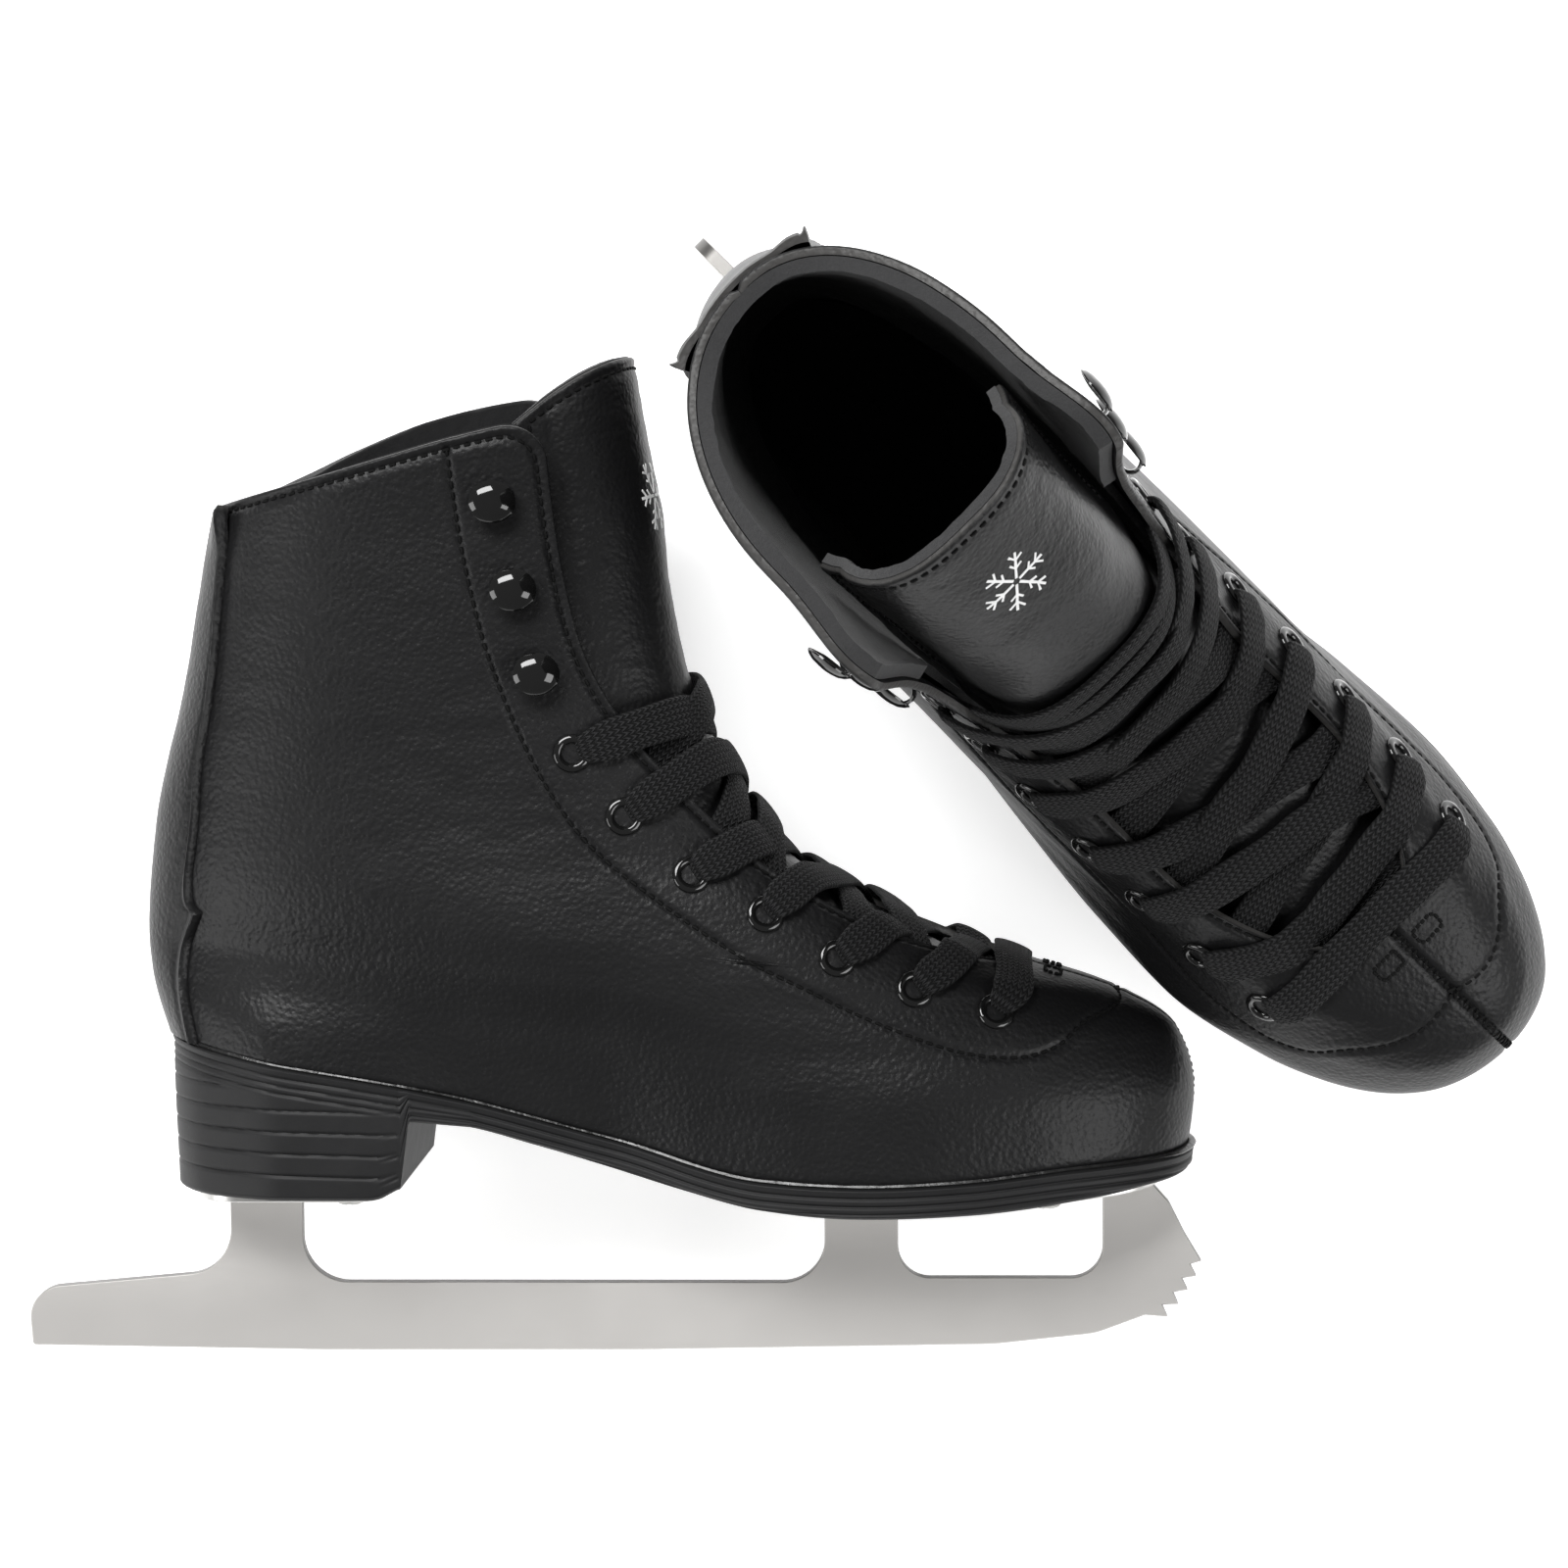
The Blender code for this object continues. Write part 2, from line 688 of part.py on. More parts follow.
def cut_or_join(obj, mesh, matrices, operation, cutters):
    """A Boolean of the object with one helper that holds a copy of the mesh at each matrix."""
    joined = bmesh.new()
    for matrix in matrices:
        copy = mesh.copy()
        copy.transform(matrix)
        joined.from_mesh(copy)
        bpy.data.meshes.remove(copy)
    helper_mesh = bpy.data.meshes.new(obj.name + "_helper")
    joined.to_mesh(helper_mesh)
    joined.free()
    helper = bpy.data.objects.new(obj.name + "_" + operation.lower(), helper_mesh)
    helper.hide_render = True
    helper.display_type = "WIRE"
    helper.parent = obj.parent
    cutters.objects.link(helper)
    modifier = obj.modifiers.new(operation.title(), "BOOLEAN")
    modifier.operation = operation
    modifier.object = helper
    modifier.solver = "EXACT"


def eyelet_stay(side):
    """The strip along a facing that carries the eyelets."""
    seats = [level_and_turn(x, z) for x, z in EYELETS]
    ends = [(seats[0][0] - 0.35, seats[0][1] + 0.03), (seats[-1][0] + 0.45, seats[-1][1] - 0.01)]
    marks = [ends[0], *seats, ends[1]]
    midway = [((a[0] + b[0]) / 2, (a[1] + b[1]) / 2) for a, b in zip(marks, marks[1:])]
    marks = sorted(marks + midway)

    def grid(depth):
        rows = []
        for v, t in marks:
            across = upper_point(side, t + 0.01, v) - upper_point(side, t - 0.01, v)
            half_turn = STAY_HALF_WIDTH * 0.02 / np.linalg.norm(across)
            shares = [(t + half_turn * k) / facing_turn(v) for k in (-1, 0, 1)]
            rows.append([layer_point(side, share, v, depth) for share in shares])
        return rows

    return shell(grid(-STAY_LIFT - 0.9), grid(-STAY_LIFT))


def lace_route():
    """The lace's middle line: it zigzags down one way, crosses at the toe and zigzags back."""
    seats = [level_and_turn(x, z) for x, z in EYELETS]
    top = len(seats) - 1
    stops = [(k, 1 if (top - k) % 2 == 0 else -1) for k in range(top, -1, -1)]
    stops += [(k, 1 if k % 2 else -1) for k in range(top + 1)]
    if stops[top][1] == stops[top + 1][1]:
        stops = stops[: top + 1] + [(k, -side) for k, side in stops[top + 1 :]]
    route = []
    for number, ((k, side), (after, _)) in enumerate(zip(stops, stops[1:])):
        crossing = (RIDGE_LEVELS[k] + RIDGE_LEVELS[after]) / 2
        depth = LACE_BAR_DEPTH if k == after else LACE_DEPTHS[number > top]
        drift = 0.0 if k == after else LACE_DRIFT * (1 if number < top else -1)
        for u in LACE_STEPS:
            seat = seats[k if u < 0 else after]
            bend = abs(u) ** 1.3
            v = crossing + (seat[0] - crossing) * bend + (drift if u > 0 else -drift) * bend
            turn = 1 - abs(u) * (1 - seat[1])
            height = depth + (LACE_LIFT - depth) * min(1.0, abs(u) / LACE_OVER_EDGE) ** 2
            route.append(inside_point(side if u < 0 else -side, turn, v, height))
    return route


def lace_mesh(mirror):
    curve = bpy.data.curves.new("lace_line", "CURVE")
    curve.dimensions = "3D"
    curve.bevel_depth = LACE_RADIUS * MM
    curve.bevel_resolution = 1
    curve.use_fill_caps = True
    route = lace_route()
    spline = curve.splines.new("POLY")
    spline.points.add(len(route) - 1)
    for point, p in zip(spline.points, route):
        point.co = (p[0] * MM, p[1] * mirror * MM, p[2] * MM, 1.0)
    return mesh_of_curve(curve)


def build_skate(hand, place, materials, parts, cutters):
    mirror = 1 if hand == "left" else -1
    empty = bpy.data.objects.new(hand + "_skate_frame", None)
    empty.location = Vector(place[0]) * MM
    empty.rotation_euler = Euler([math.radians(a) for a in place[1]])
    parts.objects.link(empty)
    bpy.context.view_layer.update()

    def add(name, solid, material):
        name = f"{hand}_{name}"
        mesh = mesh_from(*solid, name, mirror) if isinstance(solid, tuple) else solid
        return add_object(name, mesh, materials[material], empty, parts)

    add("blade", blade_mesh(), "steel")
    plates = [(add("heel_plate", heel_plate(), "steel"), HEEL_SCREWS)]
    plates.append((add("sole_plate", sole_plate(), "steel"), SOLE_SCREWS))
    sole = add("outsole", outsole(), "sole")
    add("shank", sole_strip(45, 150, 0, GAP, GAP + 1.5, widest=7, count=8), "steel")
    add("insole_board", sole_strip(18, 266, 10.0, 2.1, 4.3), "board")
    add("footbed", sole_strip(19, 265, 10.8, 4.6, 8.2), "lining")
    add("quarter_lateral", quarter(1), "leather")
    add("quarter_medial", quarter(-1), "leather")
    add("backstay", backstay(), "leather")
    add("lining", liner(), "lining")
    add("heel_counter", heel_counter(), "board")
    add("toe_puff", toe_puff(), "board")
    add("tongue_base", tongue_base(), "leather")
    hang_flap(hand, add("tongue_flap", tongue_flap(), "leather"))
    add("lace", lace_mesh(mirror), "lace")

    number = 0
    for plate, screws in plates:
        heel = plate.name.endswith("heel_plate")
        holes = []
        for x, y in screws:
            number += 1
            under = (HEEL_UNDER if heel else smooth(SOLE_UNDER, x)) - GAP - PLATE_THICK
            screw = add(f"{'heel' if heel else 'sole'}_screw_{number}", screw_mesh(under), "steel")
            screw.location = (x * MM, y * MM, 0.0)
            holes.append(Matrix.Translation((x * MM, y * MM, under * MM)))
        cut_or_join(plate, cylinder(SCREW_HOLE, -5, 6, 8), holes, "DIFFERENCE", cutters)
        cut_or_join(sole, cylinder(SCREW_HOLE, 1, 12.5, 8), holes, "DIFFERENCE", cutters)

    hook = hook_mesh()
    for side, label in ((1, "lateral"), (-1, "medial")):
        seats = [frame_matrix(*surface_frame(side, x, z), mirror) for x, z in EYELETS]
        stay = add(f"eyelet_stay_{label}", eyelet_stay(side), "enamel")
        cut_or_join(stay, cylinder(EYELET_RADIUS, 0.9, 2.5, 8), seats, "UNION", cutters)
        cut_or_join(stay, cylinder(EYELET_HOLE, -1.5, 4.0, 8), seats, "DIFFERENCE", cutters)
        for k, (x, z) in enumerate(HOOKS):
            piece = add(f"hook_{label}_{k + 1}", hook.copy(), "enamel")
            seat = frame_matrix(*surface_frame(side, x, z), mirror)
            piece.matrix_local = seat @ Matrix.Rotation(math.pi / 2, 4, "X")


def hang_flap(hand, flap):
    """Puts the flap's origin on its hinge and leans the flap back from there."""
    hinge = Vector(TONGUE_HINGE) * MM
    flap.data.transform(Matrix.Translation(-hinge))
    flap.location = hinge
    flap.rotation_euler = (0.0, math.radians(TONGUE_LEAN[hand]), 0.0)


def main():
    clear_scene()
    scene = bpy.context.scene
    parts = bpy.data.collections.new("figure_skates")
    cutters = bpy.data.collections.new("cutters")
    scene.collection.children.link(parts)
    scene.collection.children.link(cutters)
    cutters.hide_render = True
    materials = make_materials()
    build_skate("left", LEFT_PLACE, materials, parts, cutters)
    build_skate("right", RIGHT_PLACE, materials, parts, cutters)


main()
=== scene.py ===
"""The looks of a pair of black figure skates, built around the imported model.

Each skate is made in its own frame, in millimetres: x runs from the heel to the toe, z up from the ice,
and q sideways from the blade's plane towards the outer side of the foot. The left skate's q is +y and the
right skate's is -y. The upper is one surface: v is the level from the sole (0) to the collar (10), and t
the turn round it from the heel (0) to the toe (1). A side is 1 for the outer and -1 for the inner one.
"""

import math

import bmesh
import bpy
import numpy as np
from mathutils import Euler, Matrix, Vector


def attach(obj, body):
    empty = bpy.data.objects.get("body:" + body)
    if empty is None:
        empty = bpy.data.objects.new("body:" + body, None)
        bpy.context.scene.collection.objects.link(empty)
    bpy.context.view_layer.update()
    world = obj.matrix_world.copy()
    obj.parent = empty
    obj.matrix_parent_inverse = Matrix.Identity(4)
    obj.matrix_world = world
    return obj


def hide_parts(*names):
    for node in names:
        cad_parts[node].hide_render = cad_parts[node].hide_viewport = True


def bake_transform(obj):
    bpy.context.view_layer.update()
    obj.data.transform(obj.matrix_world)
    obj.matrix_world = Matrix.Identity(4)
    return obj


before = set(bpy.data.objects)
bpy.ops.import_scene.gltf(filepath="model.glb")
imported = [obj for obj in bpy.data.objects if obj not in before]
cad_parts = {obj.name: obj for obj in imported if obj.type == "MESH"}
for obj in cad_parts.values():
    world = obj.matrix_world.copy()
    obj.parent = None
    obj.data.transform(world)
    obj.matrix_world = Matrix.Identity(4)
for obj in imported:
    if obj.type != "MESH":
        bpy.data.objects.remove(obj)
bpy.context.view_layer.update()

MM = 0.001
SIDES = {1: "lateral", -1: "medial"}
PLACES = {
    "left": ((-169.2, -159.3, 51.04), (-84.0, 0.0, 0.0)),
    "right": ((3.8, 128.5, 0.63), (3.4, -2.6, -44.8)),
}
# Degrees by which each tongue leans forward, or back where negative; and how many millimetres the
# facings' upper corners curl out.
TONGUE_LEAN = {"left": 0.0, "right": -20.0}
FLARE = {"left": 1.0, "right": 5.0}

CAMERA_PLACE = (0.059, -0.019, 1.26)
CAMERA_LENS = 98.6
CAMERA_SHIFT = (-0.1333, 0.0419)
WORLD_LIGHT = 0.3
# Name, place, target, width and depth in metres, and watts of each soft box.
SOFT_BOXES = (
    ("key", (-0.5, 1.1, 1.6), (0, 0, 0), (1.1, 0.8), 52.0),
    ("fill", (1.3, -0.5, 1.3), (0, 0, 0.1), (1.0, 1.0), 20.0),
    ("side", (-1.5, -0.6, 0.9), (0, 0, 0.1), (0.9, 0.9), 14.0),
)
FLOOR_REACH = 6.0

# Sections of the upper: back x, z; front x, z; half width to the inner and the outer side; place of
# the widest point; bluntness of the front; share of the sole line's sag; share of the egg shape.
LEVELS = (
    (0.5, 92.0, 283.0, 59.5, 43, 55, 0.68, 2.2, 1.00, 0.00),
    (-2.0, 99.8, 284.5, 76.0, 43, 54, 0.66, 2.2, 0.72, 0.20),
    (-4.2, 109.8, 279.5, 92.0, 40, 48, 0.6, 2.2, 0.45, 0.65),
    (-4.8, 120.0, 262.0, 103.0, 40, 47, 0.57, 2.3, 0.25, 1.00),
    (-4.4, 128.0, 235.0, 111.5, 40, 46, 0.54, 2.5, 0.12, 1.00),
    (-3.5, 138.0, 205.0, 125.5, 39, 45, 0.51, 2.8, 0.05, 1.00),
    (-1.7, 152.0, 173.0, 146.0, 37, 43, 0.5, 2.8, 0.00, 1.00),
    (1.5, 167.0, 152.5, 180.0, 36, 41, 0.5, 2.8, 0.00, 1.00),
    (5.8, 184.0, 144.0, 207.0, 36, 41, 0.5, 2.8, 0.00, 1.00),
    (11.0, 213.0, 137.0, 238.0, 36, 41, 0.5, 2.8, -0.04, 1.00),
    (15.5, 236.5, 131.5, 266.5, 37, 42, 0.5, 2.8, -0.08, 1.00),
    (20.5, 259.0, 127.0, 293.0, 37, 42, 0.5, 2.8, -0.08, 1.00),
)
TOP_LEVEL = len(LEVELS) - 1.0
BACK_BLUNTNESS = 2.2
COLLAR = 10.0
MM_PER_LEVEL = 26.0
# How many levels the outer side's collar rises, by share of the way to the facing.
COLLAR_RISE = ((0, 0), (0.2, 0.02), (0.35, 0.12), (0.5, 0.25), (0.66, 0.32), (0.8, 0.29), (1.0, 0.2))
# Heights of the sole's upper edge and of its underside, by x.
SOLE_LINE = (
    (0, 91.7), (30, 85.8), (70, 78.9), (126, 64.3), (166, 54.4), (191, 53.5), (221, 54.8), (250, 57.5),
    (285, 59.0),
)
SOLE_UNDER = (
    (71, 69.7), (83, 68.4), (103, 63.0), (143, 51.3), (165, 46.4), (190, 44.7), (222, 45.7), (255, 49.1),
    (285, 53.0),
)
HEEL_UNDER = 48.0
HEEL_BREAST = 69.0
# Half width of the sole to the inner and the outer side at each x.
SOLE_OUTLINE = (
    (0, 0, 0), (3, 13, 14), (10, 22.5, 24), (20, 29, 31), (35, 33.5, 36), (60, 34, 37), (90, 31, 39),
    (120, 30.5, 44), (150, 36, 50), (180, 42, 54.5), (207, 44, 56), (238, 40.5, 49.5), (254, 36, 43),
    (265, 31, 36.5), (273, 25.5, 29.5), (279, 19, 21.5), (284, 0, 0),
)
SOLE_LENGTH = SOLE_OUTLINE[-1][0]
THROAT_END = 3.95
# Front edge of the facings: level and place along the section.
FACING = (
    (THROAT_END, 1.0), (4.1, 0.985), (4.4, 0.957), (5, 0.926), (6, 0.915), (7, 0.845), (8, 0.803),
    (9, 0.791), (10, 0.794), (11, 0.79),
)


def smooth(points, x, column=1):
    """The monotone cubic curve through the points' first column and the given one, at an array of x."""
    table = np.asarray(points, float)
    xs, ys = table[:, 0], table[:, column]
    x = np.clip(x, xs[0], xs[-1])
    i = np.clip(np.searchsorted(xs, x, side="right") - 1, 0, len(xs) - 2)
    step = np.diff(xs)
    slopes = np.diff(ys) / step
    before, after = slopes[:-1], slopes[1:]
    same_way = before * after > 0
    total = np.where(same_way, before + after, 1.0)
    inner = np.where(same_way, 2 * before * after / total, 0.0)
    tangents = np.concatenate(([slopes[0]], inner, [slopes[-1]]))
    f = (x - xs[i]) / step[i]
    rise = (1 + 2 * f) * (1 - f) ** 2 * ys[i] + f * f * (3 - 2 * f) * ys[i + 1]
    return rise + step[i] * (f * (1 - f) ** 2 * tangents[i] - f * f * (1 - f) * tangents[i + 1])


def ease(x, low, high):
    """0 below low, 1 above high, smooth between."""
    f = np.clip((x - low) / (high - low), 0.0, 1.0)
    return f * f * (3 - 2 * f)


def bell(x, width):
    """1 where x is 0, falling away over the width."""
    return np.exp(-((x / width) ** 2))


def round_over(distance, width):
    """1 at an edge and 0 from the width inwards, as a quarter circle falls."""
    return 1 - np.sqrt(np.clip(1 - (1 - np.clip(distance, 0, width) / width) ** 2, 0, 1))


def place_of(t):
    return (1 - np.cos(np.pi * t)) / 2


def turn_of(place):
    return np.arccos(1 - 2 * np.clip(place, 0.0, 1.0)) / np.pi


def at_level(v):
    numbered = [(k, *row) for k, row in enumerate(LEVELS)]
    return [smooth(numbered, v, column) for column in range(1, len(numbered[0]))]


OUTLINE_TURNS = {
    side: [(float(turn_of(row[0] / SOLE_LENGTH)), row[2 if side > 0 else 1]) for row in SOLE_OUTLINE]
    for side in SIDES
}


def sole_half(place, side):
    """Half width of the sole to one side, at a place along it."""
    turn = turn_of(place)
    outer, inner = smooth(OUTLINE_TURNS[1], turn), smooth(OUTLINE_TURNS[-1], turn)
    return np.where(np.asarray(side) > 0, outer, inner)


def sag(place):
    """How far the sole's edge lies below the straight line between its ends."""
    back_z, front_x, front_z = LEVELS[0][1], LEVELS[0][2], LEVELS[0][3]
    return back_z + place * (front_z - back_z) - smooth(SOLE_LINE, place * front_x)


def upper(side, t, v):
    """Points of the upper's outer surface."""
    side, t, v = np.broadcast_arrays(np.asarray(side, float), t, v)
    back_x, back_z, front_x, front_z, inner, outer, widest, blunt, sagging, egg = at_level(v)
    place = place_of(t)
    behind = place < widest
    q = np.where(behind, (widest - place) / widest, (place - widest) / (1 - widest))
    power = np.where(behind, BACK_BLUNTNESS, blunt)
    half = np.where(side > 0, outer, inner) * np.maximum(0.0, 1 - q**power) ** (1 / power)
    half = egg * half + (1 - egg) * sole_half(place, side)
    x = back_x + place * (front_x - back_x)
    z = back_z + place * (front_z - back_z) - sagging * sag(place)
    return np.stack((x, side * half, z), axis=-1)


def upper_normal(side, t, v):
    side, t, v = np.broadcast_arrays(np.asarray(side, float), t, v)
    low_t, high_t = np.maximum(t - 0.004, 0.0), np.minimum(t + 0.004, 1.0)
    along = upper(side, high_t, v) - upper(side, low_t, v)
    at_seam = (t <= 0) | (t >= 1)
    along[..., 0] = np.where(at_seam, 0.0, along[..., 0])
    along[..., 2] = np.where(at_seam, 0.0, along[..., 2])
    up = upper(side, t, np.minimum(v + 0.05, TOP_LEVEL)) - upper(side, t, np.maximum(v - 0.05, 0.0))
    normal = -np.cross(along, up) * side[..., None]
    return normal / np.linalg.norm(normal, axis=-1, keepdims=True)


def under(side, t, v, depth):
    """Points at a depth under the upper's surface; a negative depth is outside it."""
    return upper(side, t, v) - np.asarray(depth)[..., None] * upper_normal(side, t, v)


def facing_turn(v):
    return np.where(v > THROAT_END, turn_of(smooth(FACING, v)), 1.0)


def level_and_turn(x, z):
    """Levels and turns of the surface points that show at x, z in the side view."""
    x, z = np.asarray(x, float), np.asarray(z, float)
    low, high = np.zeros(x.shape), np.full(x.shape, TOP_LEVEL)
    for _ in range(40):
        middle = (low + high) / 2
        back_x, _, front_x = at_level(middle)[:3]
        turn = turn_of((x - back_x) / (front_x - back_x))
        too_low = upper(1, turn, middle)[..., 2] < z
        low, high = np.where(too_low, middle, low), np.where(too_low, high, middle)
    return middle, turn


def noise(points, size, seed):
    """Smooth noise from -1 to 1 at points in mm, whose lumps are about the given size."""
    scaled = np.asarray(points, float) / size + 137.31
    cell = np.floor(scaled).astype(np.int64)
    f = scaled - cell
    f = f * f * (3 - 2 * f)
    total = np.zeros(scaled.shape[:-1])
    for corner in range(8):
        offset = np.array([(corner >> k) & 1 for k in range(3)])
        c = cell + offset
        mixed = c[..., 0] * 73856093 ^ c[..., 1] * 19349663 ^ c[..., 2] * 83492791 ^ seed * 2654435761
        mixed = (mixed ^ (mixed >> 13)) * 1274126177 & 0xFFFFFFFF
        value = (mixed & 0xFFFF) / 32767.5 - 1
        weight = np.prod(np.where(offset == 1, f, 1 - f), axis=-1)
        total += value * weight
    return total


# ---------------------------------------------------------------- meshes in a skate's frame


SHARP_ANGLE = math.radians(40)


class Skate:
    """One skate's hand, its mirror factor for q, and its place in the world, in metres."""

    def __init__(self, hand):
        self.hand = hand
        self.mirror = 1 if hand == "left" else -1
        location, turns = PLACES[hand]
        self.matrix = Matrix.Translation(Vector(location) * MM)
        self.matrix = self.matrix @ Euler([math.radians(a) for a in turns]).to_matrix().to_4x4()

    def world(self, points):
        """Points in mm of the skate's frame, as metres in the world."""
        flat = np.asarray(points, float).reshape(-1, 3) * (1, self.mirror, 1) * MM
        turned = np.array(self.matrix.to_3x3())
        return flat @ turned.T + np.array(self.matrix.translation)

    def add(self, name, points, faces, material, slot, replaces=(), uvs=None, blend=None):
        """A piece from points in the skate's frame; it rides on the boot, or, where a blend is given, is left
        unattached.
        """
        mesh = bpy.data.meshes.new(f"{self.hand}_{name}")
        mesh.from_pydata(self.world(points).tolist(), [], faces)
        if uvs is not None:
            layer = mesh.uv_layers.new(name="along")
            corners = np.empty(len(mesh.loops), np.int32)
            mesh.loops.foreach_get("vertex_index", corners)
            layer.data.foreach_set("uv", np.asarray(uvs, np.float32)[corners].ravel())
        shape = bmesh.new()
        shape.from_mesh(mesh)
        bmesh.ops.recalc_face_normals(shape, faces=shape.faces)
        if shape.calc_volume(signed=True) < 0:
            bmesh.ops.reverse_faces(shape, faces=shape.faces)
        shape.to_mesh(mesh)
        shape.free()
        mesh.shade_smooth()
        mesh.set_sharp_from_angle(angle=SHARP_ANGLE)
        mesh.materials.append(MATERIALS[material])
        obj = bpy.data.objects.new(f"{self.hand}_{name}", mesh)
        bpy.context.scene.collection.objects.link(obj)
        if blend:
            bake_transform(obj)
        else:
            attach(obj, f"{self.hand}_skate")
        if replaces:
            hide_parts(*[f"{self.hand}_{node}" for node in replaces])

    def add_shell(self, name, outer, inner, material, slot, rim, run, **settings):
        """The body between two grids of points: rim is 1 on its cut edges, and run goes along it."""
        uvs = np.concatenate([np.stack((rim, run), -1).reshape(-1, 2)] * 2)
        self.add(name, *shell(outer, inner), material, slot, uvs=uvs, **settings)


def round_angles(count):
    return np.arange(count) * math.tau / count


def sheet_faces(rows, columns, start=0):
    """The quads of a grid of points."""
    corner = start + (np.arange(rows - 1)[:, None] * columns + np.arange(columns - 1)).ravel()
    return np.stack((corner, corner + 1, corner + columns + 1, corner + columns), axis=1).tolist()


def shell(outer, inner):
    """Points and faces of the closed body between two grids of the same size."""
    rows, columns = outer.shape[:2]
    points = np.concatenate((outer.reshape(-1, 3), inner.reshape(-1, 3)))
    below = rows * columns
    faces = sheet_faces(rows, columns) + sheet_faces(rows, columns, below)
    border = [(0, j) for j in range(columns)]
    border += [(i, columns - 1) for i in range(1, rows)]
    border += [(rows - 1, j) for j in range(columns - 2, -1, -1)]
    border += [(i, 0) for i in range(rows - 2, 0, -1)]
    ring = [i * columns + j for i, j in border]
    faces += [(a, b, b + below, a + below) for a, b in zip(ring, ring[1:] + ring[:1])]
    return points, faces


def tube(sections, closed=False):
    """Points and faces of a loft through rings of points: capped at its ends, or closed on itself."""
    count, around = sections.shape[:2]
    faces = []
    for i in range(count if closed else count - 1):
        here, there = i * around, (i + 1) % count * around
        for j in range(around):
            k = (j + 1) % around
            faces.append((here + j, here + k, there + k, there + j))
    if not closed:
        faces.append(tuple(range(around)))
        faces.append(tuple(range((count - 1) * around, count * around)))
    return sections.reshape(-1, 3), faces


def merge(solids):
    """Points and faces of several solids as one mesh."""
    points, faces, start = [], [], 0
    for solid_points, solid_faces in solids:
        points.append(np.asarray(solid_points, float).reshape(-1, 3))
        faces += [tuple(start + k for k in face) for face in solid_faces]
        start += len(points[-1])
    return np.concatenate(points), faces


def turned(profile, segments=24):
    """A solid of revolution round z from its radii and heights, its ends on the axis or capped."""
    angles = round_angles(segments)
    across, ahead = np.cos(angles), np.sin(angles)
    return tube(np.array([np.stack((r * across, r * ahead, np.full(segments, z)), 1) for r, z in profile]))


def placed(solid, point, normal, ahead):
    """The solid with its z along the normal and its x ahead, at a point."""
    points, faces = solid
    across = np.cross(normal, ahead)
    return np.asarray(points) @ np.array((ahead, across, normal)) + point, faces


def seat_at(side, t, v):
    """A point of the upper, with its outward normal and its forward direction."""
    normal = upper_normal(side, t, v)
    ahead = np.array((1.0, 0.0, 0.0)) - normal[0] * normal
    return upper(side, t, v), normal, ahead / np.linalg.norm(ahead)


def resampled(points, spacing):
    """The polyline through the points, at even steps."""
    points = np.asarray(points, float)
    lengths = np.concatenate(([0], np.cumsum(np.linalg.norm(np.diff(points, axis=0), axis=1))))
    marks = np.linspace(0, lengths[-1], max(2, int(round(lengths[-1] / spacing)) + 1))
    return np.stack([np.interp(marks, lengths, points[:, k]) for k in range(points.shape[1])], 1)


def curve_through(points, count):
    """A Catmull-Rom curve through a few points of any dimension."""
    p = np.asarray(points, float)
    p = np.concatenate(([2 * p[0] - p[1]], p, [2 * p[-1] - p[-2]]))
    marks = np.linspace(0, len(points) - 1, count)
    i = np.minimum(marks.astype(int), len(points) - 2)
    f = (marks - i)[:, None]
    a, b, c, d = p[i], p[i + 1], p[i + 2], p[i + 3]
    return 0.5 * (2 * b + (c - a) * f + (2 * a - 5 * b + 4 * c - d) * f**2 + (3 * b - 3 * c + d - a) * f**3)


# ---------------------------------------------------------------- the upper's leather

LEATHER = 2.2
CORNER_RADIUS = 12.0
STITCH_INSET = 3.0
# Where the facing's strip is sewn down, as it shows from the side: from the collar round the toe.
STAY_LINE = (
    (82.3, 252.7), (85.5, 227.8), (90.0, 206.3), (96.7, 185.5), (108.0, 161.6), (127.3, 139.0),
    (149.7, 122.8), (182.6, 104.6), (210.3, 92.9), (230.8, 88.4), (244.6, 90.4), (254.9, 97.5),
    (262.6, 102.1),
)
STAY_LINE_FRONT = (3.0, 1.0)
STITCH_PITCH = 2.95
STITCH_LENGTH = 2.25
STITCH_RADIUS = 0.43
# Share along one stitch, its height over the surface, and its thickness.
STITCH_SHAPE = ((0.0, -0.55, 0.6), (0.12, 0.05, 1.0), (0.5, 0.2, 1.08), (0.88, 0.05, 1.0), (1.0, -0.55, 0.6))
STITCH_SINK = 0.42
SEAM_WIDTH = 1.3
SEAM_DEPTH = 1.1
# Steps in mm from a cut edge at which its rounding is modelled.
EDGE_STEPS = (0.25, 0.6, 1.1, 1.8)
# About how long the quarter is from the heel to the facing.
QUARTER_LENGTH = 200.0
# Corners x, y of the small locked rectangle of stitches beside the toe seam.
TACK_CORNERS = ((242.5, 3.2), (242.5, 11.0), (247.0, 11.0), (247.0, 3.2), (242.5, 3.2))


def turn_length(side, t, v):
    """Millimetres of surface to one whole turn, at a point."""
    step = 0.01
    near, far = np.maximum(t - step, 0.0), np.minimum(t + step, 1.0)
    return np.linalg.norm(upper(side, far, v) - upper(side, near, v), axis=-1) / (far - near)


